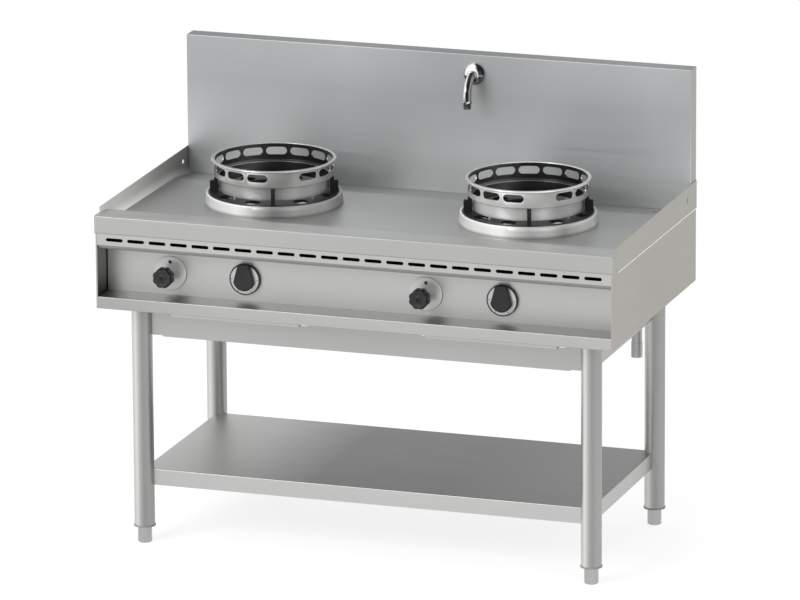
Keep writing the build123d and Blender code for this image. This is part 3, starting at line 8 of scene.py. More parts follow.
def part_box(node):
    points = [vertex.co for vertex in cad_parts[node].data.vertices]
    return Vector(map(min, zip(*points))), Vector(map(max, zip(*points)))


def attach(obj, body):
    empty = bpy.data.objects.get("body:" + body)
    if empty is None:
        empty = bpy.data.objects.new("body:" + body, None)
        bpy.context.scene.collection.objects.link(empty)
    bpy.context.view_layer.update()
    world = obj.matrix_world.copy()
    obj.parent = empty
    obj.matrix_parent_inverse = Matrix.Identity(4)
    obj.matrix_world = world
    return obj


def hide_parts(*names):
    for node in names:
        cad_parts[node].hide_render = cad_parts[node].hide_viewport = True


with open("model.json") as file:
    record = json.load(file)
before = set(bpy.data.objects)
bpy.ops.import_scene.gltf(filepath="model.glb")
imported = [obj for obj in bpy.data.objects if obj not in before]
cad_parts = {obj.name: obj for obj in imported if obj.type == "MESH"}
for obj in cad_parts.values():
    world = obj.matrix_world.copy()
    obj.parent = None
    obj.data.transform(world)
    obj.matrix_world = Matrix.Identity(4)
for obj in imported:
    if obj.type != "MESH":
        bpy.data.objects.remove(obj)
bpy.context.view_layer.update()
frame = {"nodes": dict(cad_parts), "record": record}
nodes = frame["nodes"]
MM = 0.001
SIDES = ("left", "right")
UP, RIGHTWARD, BACKWARD = (0, 0, 1), (1, 0, 0), (0, 1, 0)


def linked(name, data):
    """A new object in the scene."""
    obj = bpy.data.objects.new(name, data)
    bpy.context.scene.collection.objects.link(obj)
    return obj


# ---- camera: the photograph's view ----------------------------------------------------
CAMERA_AT = Vector((6.2066, -18.2137, 5.7965))
AZIMUTH, ELEVATION, ROLL = (math.radians(v) for v in (18.80, 15.01, -0.32))
back = Vector((math.sin(AZIMUTH) * math.cos(ELEVATION),
               -math.cos(AZIMUTH) * math.cos(ELEVATION),
               math.sin(ELEVATION)))
level_right = (-back).cross(Vector(UP)).normalized()
level_up = level_right.cross(-back)
cam_right = math.cos(ROLL) * level_right + math.sin(ROLL) * level_up
cam_up = -math.sin(ROLL) * level_right + math.cos(ROLL) * level_up
camera = linked("camera", bpy.data.cameras.new("camera"))
camera.data.sensor_width = 36.0
camera.data.lens = 343.0
camera.data.clip_end = 100.0
cam_turn = Matrix((cam_right, cam_up, back)).transposed()
camera.matrix_world = Matrix.Translation(CAMERA_AT) @ cam_turn.to_4x4()
bpy.context.scene.camera = camera
bpy.context.scene.view_settings.view_transform = "Standard"

# ---- materials ------------------------------------------------------------------------
# A grain says how finely brushing changes along x, y and z: its strokes run along the axis
# with the small number. A tone is (coordinate, direction, stops): it paints light and shade,
# multiplying the colour by a grey level that follows the object's own place in metres, or its
# normal, along the direction. A stop is (place along the direction, level).
ALONG, ACROSS, UPRIGHT = (3, 900, 900), (900, 3, 900), (900, 900, 3)
SPUN, EVEN = (4, 4, 500), (500, 500, 500)
IN_VIEW = (math.cos(AZIMUTH), math.sin(AZIMUTH), 0)  # to the right, as the camera sees it
# painted reflections: the plating's colour gets bright and dark bands along this direction
PAINTED_REFLECTION_AXIS = (0.93, 0.32, -0.12)  # the way the studio's images are laid out on round plating
NOISE_LOW, NOISE_HIGH = 0.3, 0.7  # nearly all of a noise lies between these
FACTOR, COLOR_A, COLOR_B, COLOR_OUT = 0, 6, 7, 2  # sockets of a mix node for colours


def new_material(name, metallic=0.0):
    """A material, with its node tree and its surface node."""
    mat = bpy.data.materials.new(name)
    mat.use_nodes = True
    bsdf = mat.node_tree.nodes["Principled BSDF"]
    bsdf.inputs["Metallic"].default_value = metallic
    return mat, mat.node_tree, bsdf


def add(tree, kind, **values):
    """A new node; each value goes to the socket of that name, or else to the property."""
    node = tree.nodes.new(kind)
    for key, value in values.items():
        if key in node.inputs:
            node.inputs[key].default_value = value
        else:
            setattr(node, key, value)
    return node


def noise(tree, scale, detail, stretch=(1, 1, 1)):
    """Noise over the object's own place, stretched along its axes."""
    where = add(tree, "ShaderNodeTexCoord")
    place = add(tree, "ShaderNodeMapping", Scale=stretch)
    tree.links.new(where.outputs["Object"], place.inputs["Vector"])
    tex = add(tree, "ShaderNodeTexNoise", Scale=scale, Detail=detail)
    tree.links.new(place.outputs["Vector"], tex.inputs["Vector"])
    return tex.outputs["Fac"]


def spread(tree, source, low, high):
    """Values of a noise spread from low to high."""
    node = add(tree, "ShaderNodeMapRange", **{
        "From Min": NOISE_LOW, "From Max": NOISE_HIGH, "To Min": low, "To Max": high})
    tree.links.new(source, node.inputs["Value"])
    return node.outputs["Result"]


def shade(tree, source, color, amount):
    """Colour that wanders by a small amount round a base colour."""
    ramp = add(tree, "ShaderNodeValToRGB")
    darker, lighter = ramp.color_ramp.elements
    darker.position, lighter.position = NOISE_LOW, NOISE_HIGH
    darker.color = [*(max(0.0, c * (1 - amount)) for c in color), 1]
    lighter.color = [*(min(1.0, c * (1 + amount)) for c in color), 1]
    tree.links.new(source, ramp.inputs["Fac"])
    return ramp.outputs["Color"]


def times(tree, first, second):
    """One colour multiplied by another."""
    mix = add(tree, "ShaderNodeMix", data_type="RGBA", blend_type="MULTIPLY")
    mix.inputs[FACTOR].default_value = 1.0
    tree.links.new(first, mix.inputs[COLOR_A])
    tree.links.new(second, mix.inputs[COLOR_B])
    return mix.outputs[COLOR_OUT]


def ramped(tree, output, direction, stops):
    """Grey level that follows the object's own place or normal along a direction."""
    where = add(tree, "ShaderNodeTexCoord")
    along = add(tree, "ShaderNodeVectorMath", operation="DOT_PRODUCT")
    along.inputs[1].default_value = direction
    tree.links.new(where.outputs[output], along.inputs[0])
    first, last = stops[0][0], stops[-1][0]
    level = add(tree, "ShaderNodeMapRange", **{"From Min": first, "From Max": last})
    tree.links.new(along.outputs["Value"], level.inputs["Value"])
    bands = add(tree, "ShaderNodeValToRGB")
    for _ in range(len(stops) - 2):
        bands.color_ramp.elements.new(0.5)
    for stop, (place, value) in zip(bands.color_ramp.elements, stops):
        stop.position = (place - first) / (last - first)
        stop.color = (value, value, value, 1)
    tree.links.new(level.outputs["Result"], bands.inputs["Fac"])
    return bands.outputs["Color"]


def toned(tree, color, tones):
    """A colour multiplied by each of its tones."""
    for output, direction, stops in tones:
        color = times(tree, color, ramped(tree, output, direction, stops))
    return color


def eased_relief(tree, bsdf, height, radius, strength, depth):
    """Fine relief, on edges that are shaded as if eased by a small radius."""
    edge = add(tree, "ShaderNodeBevel", samples=4, Radius=radius)
    bump = add(tree, "ShaderNodeBump", Strength=strength, Distance=depth)
    tree.links.new(height, bump.inputs["Height"])
    tree.links.new(edge.outputs["Normal"], bump.inputs["Normal"])
    tree.links.new(bump.outputs["Normal"], bsdf.inputs["Normal"])


def steel(name, color, rough, grain=ALONG, cloud=0.035, bevel=0.0006, metallic=1.0, tones=(),
          relief=0.06):
    """Satin sheet steel: brushed grain, faint clouding and slightly eased edges.

    The colour wanders by cloud, and relief is how strongly the grain shows in the normals.
    """
    mat, tree, bsdf = new_material(name, metallic)
    clouds = noise(tree, scale=2.2, detail=3.0)
    brush = noise(tree, scale=1.0, detail=2.0, stretch=grain)
    tree.links.new(toned(tree, shade(tree, clouds, color, cloud), tones), bsdf.inputs["Base Color"])
    vary = min(0.05, relief)
    tree.links.new(spread(tree, brush, rough - vary, rough + vary), bsdf.inputs["Roughness"])
    eased_relief(tree, bsdf, brush, bevel, strength=relief, depth=0.0004)
    return mat


def coated(name, color, rough, scale=400.0, depth=0.0003, metallic=0.0, tones=()):
    """Cast, moulded or plated surface with a fine grain and a weak gloss."""
    mat, tree, bsdf = new_material(name, metallic)
    bsdf.inputs["Specular IOR Level"].default_value = 0.25
    grain = noise(tree, scale, detail=3.0)
    mottle = shade(tree, noise(tree, scale=18.0, detail=3.0), color, 0.15)
    tree.links.new(toned(tree, mottle, tones), bsdf.inputs["Base Color"])
    vary = 0.06
    tree.links.new(spread(tree, grain, rough - vary, rough + vary), bsdf.inputs["Roughness"])
    eased_relief(tree, bsdf, grain, radius=0.0008, strength=0.25, depth=depth)
    return mat


def chrome(name, stops, below=None):
    """Mirror plating with painted reflections: bright and dark bands of a studio are painted
    into the colour along the surface's own direction.

    Where the surface looks down, the grey level below, painted shade, takes their place.
    """
    mat, tree, bsdf = new_material(name, 1.0)
    color = ramped(tree, "Normal", PAINTED_REFLECTION_AXIS, stops)
    if below:
        mix = add(tree, "ShaderNodeMix", data_type="RGBA")
        mix.inputs[COLOR_A].default_value = (below, below, below * 1.02, 1)
        tree.links.new(color, mix.inputs[COLOR_B])
        looks_up = ramped(tree, "Normal", UP, ((-0.12, 0.0), (0.12, 1.0)))
        tree.links.new(looks_up, mix.inputs[FACTOR])
        color = mix.outputs[COLOR_OUT]
    tree.links.new(color, bsdf.inputs["Base Color"])
    fine = noise(tree, scale=900.0, detail=2.0)
    tree.links.new(spread(tree, fine, 0.05, 0.11), bsdf.inputs["Roughness"])
    return mat


def painted_shade_up(level):
    """Painted shade: a tone that darkens the faces that look up."""
    return ("Normal", UP, ((0.5, 1.0), (0.9, level)))


def ring_steel(name, color, metallic, stops):
    """Polished steel of a wok ring, with painted reflections of the studio as bands round it and painted
    shade on the faces that look up.
    """
    return steel(name, color, 0.24, SPUN, 0.02, metallic=metallic, relief=0.001, tones=(
        ("Normal", IN_VIEW, stops), ("Normal", UP, ((0.35, 1.0), (0.8, 0.5)))))


WORKTOP = {"color": (0.43, 0.435, 0.425), "rough": 0.42, "metallic": 0.75}
looks = {
    # worktop: painted shade on faces that look up and deeper towards the back
    "worktop_steel": steel("worktop_satin", **WORKTOP, tones=(
        ("Normal", UP, ((0.1, 1.0), (0.35, 0.66), (0.93, 0.66), (1.0, 0.84))),
        ("Object", BACKWARD, ((-0.31, 1.0), (-0.27, 0.95), (-0.1, 0.91), (0.3, 0.74))))),
    # splashback: painted light and shade that vary across and up it, and painted shade on faces that
    # look up
    "splash_steel": steel("splash_satin", (0.56, 0.575, 0.583), 0.46, tones=(
        painted_shade_up(0.54),
        ("Object", RIGHTWARD, (
            (-0.7, 0.82), (-0.5, 0.86), (-0.25, 0.97), (-0.1, 0.88), (0.04, 0.79), (0.2, 0.81),
            (0.35, 0.91), (0.5, 0.95), (0.6, 1.0), (0.7, 0.92))),
        ("Object", UP, ((0.88, 1.0), (0.97, 1.05), (1.04, 0.92), (1.11, 0.8), (1.23, 0.8))))),
    # body and shelf: painted shade on faces that look up
    "body_steel": steel("body_satin", (0.46, 0.46, 0.45), 0.42, tones=(painted_shade_up(0.68),)),
    "shelf_steel": steel("shelf_satin", (0.49, 0.49, 0.48), 0.42, tones=(painted_shade_up(0.6),)),
    # legs: a painted highlight on the side that faces left in view, and painted shade across the front
    "leg_steel": steel("leg_satin", (0.36, 0.36, 0.35), 0.34, UPRIGHT, metallic=0.8, tones=(
        ("Normal", IN_VIEW, (
            (-1.0, 1.5), (-0.8, 1.75), (-0.65, 2.0), (-0.4, 1.31), (-0.2, 1.0), (0.0, 0.85),
            (0.25, 0.88), (0.5, 1.03), (0.8, 1.06), (1.0, 1.0))),)),
    "foot_steel": steel("foot_satin", (0.42, 0.42, 0.41), 0.3, UPRIGHT),
    "insert_plastic": coated("insert_grey", (0.45, 0.45, 0.44), 0.5),
    "fastener_steel": steel("fastener_plain", (0.45, 0.45, 0.45), 0.3),
    # wok rings: painted reflections as bands round them and painted shade on faces that look up
    "polished_steel": ring_steel("polished", (0.66, 0.66, 0.65), 0.75, (
        (-1.0, 0.55), (-0.85, 1.25), (-0.5, 1.2), (-0.1, 0.8), (0.3, 0.75), (0.7, 1.2),
        (0.9, 0.8), (1.0, 0.4))),
    "black_iron": coated("cast_black", (0.010, 0.010, 0.010), 0.5, 260.0, 0.0006),
    # black plastic: painted shade on faces that turn away from the front
    "black_plastic": coated("moulded_black", (0.030, 0.030, 0.031), 0.42, 700.0, 0.0001, tones=(
        ("Normal", BACKWARD, ((-0.98, 1.0), (-0.7, 0.4))),)),
    # dials: a painted highlight on the upper left of their eased rims and painted shade on the lower
    # right
    "dial_aluminium": steel("dial_satin", (0.58, 0.58, 0.57), 0.34, EVEN, 0.02, 0.0002, 0.5, tones=(
        ("Normal", (0.87, 0, -0.5), (
            (-0.9, 1.7), (-0.3, 1.05), (0.15, 1.0), (0.5, 0.5), (0.9, 0.15))),)),
    "valve_brass": steel("valve_brass", (0.55, 0.40, 0.18), 0.3),
    "gas_steel": coated("pipe_zinc", (0.35, 0.34, 0.32), 0.45, metallic=0.8),
    # tap: painted reflections in bands
    "tap_chrome": chrome("tap_chrome", (
        (-1.0, 0.9), (-0.6, 0.95), (-0.4, 0.02), (0.24, 0.02), (0.48, 0.30), (1.0, 0.35))),
    "water_copper": steel("tube_copper", (0.55, 0.28, 0.16), 0.3),
    "drain_steel": steel("drain_satin", (0.60, 0.61, 0.60), 0.45, UPRIGHT, metallic=0.6, tones=(
        ("Object", UP, ((0.7, 1.0), (0.8, 0.45))),)),
}
# the right ring gets a lighter copy of the steel with its own painted reflections
painted_ring_looks = {
    "left": looks["polished_steel"],
    "right": ring_steel("polished_right_lighter", (0.80, 0.80, 0.79), 0.65, (
        (-1.0, 0.55), (-0.85, 1.25), (-0.3, 1.1), (0.1, 1.1), (0.5, 1.0), (0.75, 1.25),
        (0.9, 0.9), (1.0, 0.4))),
}
# inside of the rings: painted shade, darkest towards the front and the back
ring_inside = steel("ring_inside", (0.5, 0.5, 0.49), 0.28, SPUN, 0.02, relief=0.001, tones=(
    ("Object", BACKWARD, (
        (-0.12, 0.06), (0.0, 0.2), (0.06, 0.5), (0.12, 0.4), (0.16, 0.16), (0.18, 0.12))),))
# sides: a darker, warmer copy of the sheet steel for faces that look to the side, painted shade
side_shade_look = steel("side_satin", (0.40, 0.385, 0.352), 0.44, ACROSS)
# collars: painted reflections that follow the normal in view, one set for each side, and painted shade
# at the foot
collar_reflection_tones = {
    "left": ((-1.0, 0.95), (-0.9, 1.3), (-0.55, 1.25), (-0.25, 0.55), (0.0, 0.27), (0.4, 0.34),
             (0.75, 0.62), (1.0, 0.4)),
    "right": ((-1.0, 0.95), (-0.9, 1.3), (-0.4, 1.1), (0.0, 0.55), (0.5, 0.5), (0.75, 1.1),
              (0.92, 1.2), (1.0, 0.7)),
}
painted_collar_looks = {
    side: steel(f"collar_spun_{side}", (0.82, 0.82, 0.81), 0.4, SPUN, 0.01, metallic=0.55,
                relief=0.001, tones=(
                    ("Normal", IN_VIEW, stops), ("Object", UP, ((0.869, 0.45), (0.877, 1.0)))))
    for side, stops in collar_reflection_tones.items()
}
# bowls: painted shade, dark below the rim
bowl_shade_look = steel("bowl_spun", (0.62, 0.62, 0.61), 0.4, SPUN, 0.02, metallic=0.7, tones=(
    ("Object", UP, ((0.86, 0.06), (0.885, 1.0))),))
# sill: painted shade on its top and towards its left end
sill_shade_look = steel("sill_satin", (0.44, 0.44, 0.43), 0.42, tones=(
    painted_shade_up(0.64), ("Object", RIGHTWARD, ((-0.7, 0.82), (-0.45, 0.95), (0.0, 1.0)))))
apron_look = steel("apron_satin", (0.41, 0.41, 0.40), 0.42)
# deck: painted shade on the flat, deeper towards the back and in a band towards the left end
deck_shade_look = steel("deck_satin", **WORKTOP, tones=(
    ("Normal", UP, ((0.93, 0.66), (1.0, 0.84))),
    ("Object", BACKWARD, (
        (-0.31, 1.0), (-0.27, 0.95), (-0.15, 0.87), (0.0, 0.77), (0.08, 0.71), (0.3, 0.69))),
    ("Object", RIGHTWARD, (
        (-0.7, 1.0), (-0.64, 0.86), (-0.56, 0.78), (-0.48, 0.78), (-0.42, 0.9), (-0.34, 1.0),
        (0.7, 1.0)))))
cheek_look = steel("cheek_lit", (0.95, 0.95, 0.90), 0.42, ACROSS, metallic=0.15, tones=(
    ("Object", BACKWARD, ((-0.37, 1.0), (-0.22, 1.0), (-0.05, 0.76), (0.1, 0.47), (0.33, 0.17))),))
# end of the control recess: painted shade, darkest at the bottom
recess_end_shade_look = steel("recess_end", (0.30, 0.30, 0.30), 0.42, tones=(
    ("Object", UP, ((0.68, 0.15), (0.74, 0.6), (0.82, 0.8))),))
# top of the under-shelf: painted shade, darker from the left end towards the middle and the right
shelf_top_shade_look = steel("shelf_top", (0.48, 0.48, 0.475), 0.42, tones=(
    ("Object", RIGHTWARD, ((-0.6, 1.0), (-0.42, 0.86), (-0.15, 0.36), (0.2, 0.34), (0.6, 0.44))),))
hem_shade_look = steel("hem_shaded", (0.33, 0.33, 0.325), 0.4)
seam_highlight_look = steel("seam_painted_highlight", (0.97, 0.97, 0.95), 0.15)
# rosette and aerator: painted reflections in bands, and painted shade where the rosette looks down
rosette_reflection_look = chrome("rosette_chrome", (
    (-1.0, 0.5), (-0.86, 0.92), (-0.2, 0.95), (-0.02, 0.02), (0.75, 0.02), (1.0, 0.2)), 0.36)
aerator_reflection_look = chrome("aerator_chrome", (
    (-1.0, 0.3), (-0.8, 0.95), (-0.55, 0.08), (-0.2, 0.12), (0.05, 0.7), (0.3, 0.6), (0.5, 0.1),
    (0.8, 0.4), (1.0, 0.3)))

# ---- the solids' faces ----------------------------------------------------------------
SHARP_FOLD = 30  # degrees
WELD_WITHIN = 0.00001
SQUARE_ON = 0.985  # a normal this close to an axis belongs to a flat face
FLAT_SHEETS = {
    "worktop", "splashback", "splashback_cover", "left_side_panel", "right_side_panel", "back_panel",
    "bottom_panel", "control_panel", "left_side_apron", "right_side_apron",
}
slots = {s["node"]: s["material_slot"] for s in frame["record"]["subparts"]}
for name, obj in nodes.items():
    obj.data.materials.clear()
    obj.data.materials.append(looks[slots[name]])
    # rounded faces are shaded round, and sharp folds stay crisp
    if "custom_normal" in obj.data.attributes:
        obj.data.attributes.remove(obj.data.attributes["custom_normal"])
    for polygon in obj.data.polygons:
        square = max(abs(v) for v in polygon.normal) >= SQUARE_ON
        polygon.use_smooth = not (name in FLAT_SHEETS and square)
    weld = obj.modifiers.new("weld", "WELD")
    weld.merge_threshold = WELD_WITHIN
    split = obj.modifiers.new("split", "EDGE_SPLIT")
    split.split_angle = math.radians(SHARP_FOLD)

nodes["sill"].data.materials[0] = sill_shade_look
nodes["front_apron"].data.materials[0] = apron_look
for side in SIDES:
    nodes[f"{side}_side_panel"].data.materials[0] = side_shade_look
    nodes[f"{side}_burner_collar"].data.materials[0] = painted_collar_looks[side]
    nodes[f"{side}_burner_bowl"].data.materials[0] = bowl_shade_look


def relook(name, look, chosen):
    """Give the polygons of a node that are chosen a material of their own."""
    mesh = nodes[name].data
    mesh.materials.append(look)
    for polygon in mesh.polygons:
        if chosen(polygon):
            polygon.material_index = len(mesh.materials) - 1


FACING, LEANING = 0.9, 0.3  # a normal's part along an axis that its face looks to or leans to
LEFT_END, RIGHT_END = -0.6, 0.7  # x of the ends
CHEEK_FOOT, LIP_BACK = 0.85, -0.32  # z under the cheeks and y behind the front lip
# the faces picked here get copies of the steel that carry painted light and shade
relook("worktop", cheek_look, lambda p: (
    p.normal.x > LEANING and p.center.x < LEFT_END and p.center.z > CHEEK_FOOT))
relook("worktop", deck_shade_look, lambda p: p.normal.z > FACING and p.center.y > LIP_BACK)
for name in ("worktop", "splashback"):
    relook(name, side_shade_look, lambda p: p.normal.x > FACING and p.center.x > RIGHT_END)
relook("left_side_panel", recess_end_shade_look, lambda p: p.normal.x > FACING)
relook("undershelf", shelf_top_shade_look, lambda p: p.normal.z > FACING)


# ---- forms from outlines and sections --------------------------------------------------
def new_mesh(name, verts, faces, weld=None):
    """A mesh whose faces all look outwards, with points closer than weld merged."""
    mesh = bpy.data.meshes.new(name)
    mesh.from_pydata([tuple(v) for v in verts], [], faces)
    work = bmesh.new()
    work.from_mesh(mesh)
    if weld:
        bmesh.ops.remove_doubles(work, verts=work.verts, dist=weld)
    bmesh.ops.recalc_face_normals(work, faces=work.faces)
    work.to_mesh(mesh)
    work.free()
    return mesh


def dress(name, mesh, look, body, stands_for=None, angle=35):
    """A mesh object with smooth faces and crisp folds that rides on a body."""
    for polygon in mesh.polygons:
        polygon.use_smooth = True
    mesh.set_sharp_from_angle(angle=math.radians(angle))
    obj = linked(name, mesh)
    mesh.materials.append(look)
    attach(obj, body)
    if stands_for:
        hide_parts(*stands_for)


def piece(name, verts, faces, look, slot, body, stands_for=None, angle=35):
    """The same from vertices and faces."""
    dress(name, new_mesh(name, verts, faces, weld=1e-6), look, body, stands_for, angle)


def in_mm(*corners):
    """Corners written in millimetres, in metres."""
    return [tuple(v * MM for v in corner) for corner in corners]


def soften(corners, steps=6):
    """Outline with its corners rounded: each corner is (x, y) or (x, y, radius)."""
    out = []
    count = len(corners)
    for i, corner in enumerate(corners):
        here = Vector(corner[:2])
        radius = corner[2] if len(corner) > 2 else 0
        if not radius:
            out.append(tuple(here))
            continue
        before = (Vector(corners[i - 1][:2]) - here).normalized()
        after = (Vector(corners[(i + 1) % count][:2]) - here).normalized()
        half = before.angle(after) / 2
        reach = radius / math.tan(half)
        centre = here + (before + after).normalized() * radius / math.sin(half)
        first = here + before * reach - centre
        last = here + after * reach - centre
        turn = math.atan2(first.x * last.y - first.y * last.x, first.dot(last))
        for step in range(steps + 1):
            a = turn * step / steps
            out.append((centre.x + first.x * math.cos(a) - first.y * math.sin(a),
                        centre.y + first.x * math.sin(a) + first.y * math.cos(a)))
    return out


def spun(section, place, count=160):
    """Skin of a closed section (radius, height) turned round the z axis of place."""
    verts, faces = [], []
    size = len(section)
    for i in range(count):
        a = 2 * math.pi * i / count
        for radius, height in section:
            verts.append(place @ Vector((radius * math.cos(a), radius * math.sin(a), height)))
    for i in range(count):
        j = (i + 1) % count
        for k in range(size):
            m = (k + 1) % size
            faces.append((i * size + k, j * size + k, j * size + m, i * size + m))
    return verts, faces


def layered(rings, place):
    """Skin over closed outlines of equal length, capped at both ends."""
    size = len(rings[0])
    verts = [place @ Vector(p) for ring in rings for p in ring]
    faces = []
    for i in range(len(rings) - 1):
        for k in range(size):
            m = (k + 1) % size
            faces.append((i * size + k, i * size + m, (i + 1) * size + m, (i + 1) * size + k))
    faces.append(tuple(reversed(range(size))))
    faces.append(tuple(range((len(rings) - 1) * size, len(rings) * size)))
    return verts, faces


def prism(outline, near, far, place):
    """An outline drawn out from near to far along the z axis of place."""
    return layered([[(u, v, w) for u, v in outline] for w in (near, far)], place)


def joined(parts):
    """One list of vertices and faces from several."""
    verts, faces = [], []
    for part_verts, part_faces in parts:
        start = len(verts)
        verts += part_verts
        faces += [tuple(start + i for i in face) for face in part_faces]
    return verts, faces


def standing(x, y, z):
    """Placement whose axes are those of the scene."""
    return Matrix.Translation((x, y, z))


def facing_front(x, y, z):
    """Placement whose z axis points to the front, x to the right and y up."""
    turn = Matrix(((1, 0, 0), (0, 0, -1), (0, 1, 0)))
    return Matrix.Translation((x, y, z)) @ turn.to_4x4()


def facing_out(x, y, z, degrees):
    """Placement on an upright axis: z points outwards, at an angle from the front, and y up."""
    a = math.radians(degrees)
    across = Vector((math.cos(a), math.sin(a), 0))
    out = Vector((math.sin(a), -math.cos(a), 0))
    turn = Matrix((across, Vector(UP), out)).transposed()
    return Matrix.Translation((x, y, z)) @ turn.to_4x4()


# ---- pieces built here, over or instead of plain solids --------------------------------
# Sizes are in millimetres, angles in degrees. A depth is measured back from a front face.
HAIR = 0.5  # sections keep off their axis by this, so that no face shrinks to a point
black = looks["black_plastic"]
PANEL_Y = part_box("control_panel")[0].y

RING_STEPS = 240
RING_WALL = 2
BEAD_HEIGHT = 5.2
BAND_INSET, LOWER_INSET = 7.5, 19.5  # in from the bead's outer edge
SHOULDER_DROP, RING_HEIGHT = 45.5, 82.5  # below the bead's top
SLOT_DROP, SLOT_HALF_LONG, SLOT_HALF_HIGH = 21.2, 27.5, 10.25
SLOT_COUNT, SLOT_FIRST, SLOT_PITCH = 14, 54.6, 23.75
PAD_COUNT, PAD_FIRST, PAD_PITCH = 4, 18.5 + 45, 90  # midway between the support's lugs
PAD_BACK, PAD_FRONT = 1.5, 0.5  # in from the lower ring's outer face


def wok_ring(side):
    """Rolled bead, slotted band, rounded shoulder, lower ring and the pads at its foot."""
    low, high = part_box(f"{side}_wok_ring")
    cx, cy = (low.x + high.x) / 2, (low.y + high.y) / 2
    bead, top = (high.x - low.x) / 2, high.z
    band, inner, wall = bead - BAND_INSET * MM, bead - LOWER_INSET * MM, RING_WALL * MM
    shoulder, bottom = top - SHOULDER_DROP * MM, top - RING_HEIGHT * MM
    under_bead = top - BEAD_HEIGHT * MM
    section = soften([
        (inner - wall, bottom, 0.6 * MM),
        (inner, bottom, 0.6 * MM),
        (inner, shoulder - wall, 1.2 * MM),
        (band, shoulder - wall, 3.4 * MM),
        (band, under_bead, 0.8 * MM),
        (bead, under_bead, 2.5 * MM),
        (bead, top, 2.5 * MM),
        (band - wall, top, 1.4 * MM),
        (band - wall, shoulder, 1.2 * MM),
        (inner - wall, shoulder, 3.4 * MM),
    ])
    blank = linked("ring_blank", new_mesh(
        "ring_blank", *spun(section, standing(cx, cy, 0), RING_STEPS)))

    long, tall = SLOT_HALF_LONG * MM, SLOT_HALF_HIGH * MM
    end = tall * 0.999  # a full half circle would put two points in one place
    outline = soften([(-long, -tall, end), (long, -tall, end), (long, tall, end), (-long, tall, end)], 8)
    cutters = [prism(outline, inner + 2 * MM, bead + 4 * MM,
                     facing_out(cx, cy, top - SLOT_DROP * MM, SLOT_FIRST + SLOT_PITCH * i))
               for i in range(SLOT_COUNT)]
    cutter = linked("slots", new_mesh("slots", *joined(cutters)))
    cut = blank.modifiers.new("cut", "BOOLEAN")
    cut.operation = "DIFFERENCE"
    cut.solver = "EXACT"
    cut.object = cutter
    bpy.context.view_layer.update()
    depsgraph = bpy.context.evaluated_depsgraph_get()
    formed = bpy.data.meshes.new_from_object(blank.evaluated_get(depsgraph))
    bpy.data.objects.remove(blank)
    bpy.data.objects.remove(cutter)
    dress(f"{side}_ring_formed", formed, painted_ring_looks[side], f"{side}_ring",
          (f"{side}_wok_ring",), 40)

    # faces of the inside, below the bead, get painted shade of their own
    formed.materials.append(ring_inside)
    for polygon in formed.polygons:
        outward = Vector((polygon.center.x - cx, polygon.center.y - cy, 0))
        inside = outward.length < band - wall / 2 and polygon.center.z < top - 3 * MM
        inward = polygon.normal.dot(outward.normalized()) < -LEANING
        if inside and (inward or polygon.normal.z > LEANING):
            polygon.material_index = 1

    pad = soften(in_mm((-4, 0, 1), (4, 0, 1), (4, 9), (-4, 9)), 3)
    pads = [prism(pad, inner - PAD_BACK * MM, inner - PAD_FRONT * MM,
                  facing_out(cx, cy, low.z, PAD_FIRST + PAD_PITCH * i)) for i in range(PAD_COUNT)]
    piece(f"{side}_ring_feet", *joined(pads), looks["polished_steel"], "polished_steel", f"{side}_ring")


def wheel_place(side, y, rise=0):
    """Placement on a handwheel's axis, or a rise above it, facing the front."""
    low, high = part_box(f"{side}_handwheel")
    return facing_front((low.x + high.x) / 2, y, (low.z + high.z) / 2 + rise)


WHEEL_STEPS, WHEEL_LOBES = 192, 8
LOBE_POWER = 1.6  # over 1, the dips between the lobes get narrower than the lobes
WHEEL_PLAY = 1.0  # the plain solid's rim lies this much outside the lobes
WHEEL_ROWS = (  # inset from the rim, depth, bite of the dips
    (3.0, 30.0, 2.2), (1.0, 29.2, 2.4), (0.0, 27.4, 2.4), (0.0, 4.4, 2.4), (0.7, 2.4, 2.2),
    (2.2, 0.8, 2.0), (4.4, 0.1, 1.6), (7.0, 0.5, 0.8), (9.5, 1.4, 0.2), (15.5, 2.2, 0.0),
    (17.8, 0.1, 0.0), (20.4, 0.1, 0.0), (21.6, 2.4, 0.0), (23.6, 2.4, 0.0), (24.2, 6.0, 0.0),
)


def handwheel(side):
    """Eight rounded lobes, a dished front with a ring boss round a hollow centre, and a hub."""
    low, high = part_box(f"{side}_handwheel")
    radius, spindle = (high.z - low.z) / 2 - WHEEL_PLAY * MM, (high.y - low.y) / MM
    place = wheel_place(side, low.y)
    loops = []
    for inset, depth, bite in WHEEL_ROWS:
        loop = []
        for i in range(WHEEL_STEPS):
            a = 2 * math.pi * i / WHEEL_STEPS
            dip = (0.5 + 0.5 * math.cos(WHEEL_LOBES * a)) ** LOBE_POWER
            r = radius - (inset + bite * dip) * MM
            loop.append((r * math.sin(a), r * math.cos(a), -depth * MM))
        loops.append(loop)
    hub = spun(soften(in_mm(
        (HAIR, -29), (11, -29), (11, -41, 1.5), (4, -41), (4, -spindle), (HAIR, -spindle))), place, 64)
    piece(f"{side}_wheel_moulded", *joined([layered(loops, place), hub]), black, "black_plastic",
          f"{side}_wheel", (f"{side}_handwheel",), 50)


KNOB_RADIUS, KNOB_TIP, TIP_HALF, TIP_ROUND = 29, 41.5, 15, 6
KNOB_STEPS, KNOB_START = 40, -14  # the round part starts this far below the level
KNOB_MIDDLE, KNOB_HALF_WIDE, KNOB_HALF_TALL = 8, 24, 27  # what the insets of the rows scale
KNOB_ROWS = (  # inset, depth
    (0.6, 8.0), (0.0, 7.4), (0.0, 2.8), (0.5, 1.3), (1.6, 0.4), (3.4, 0.0), (9.0, 0.2))


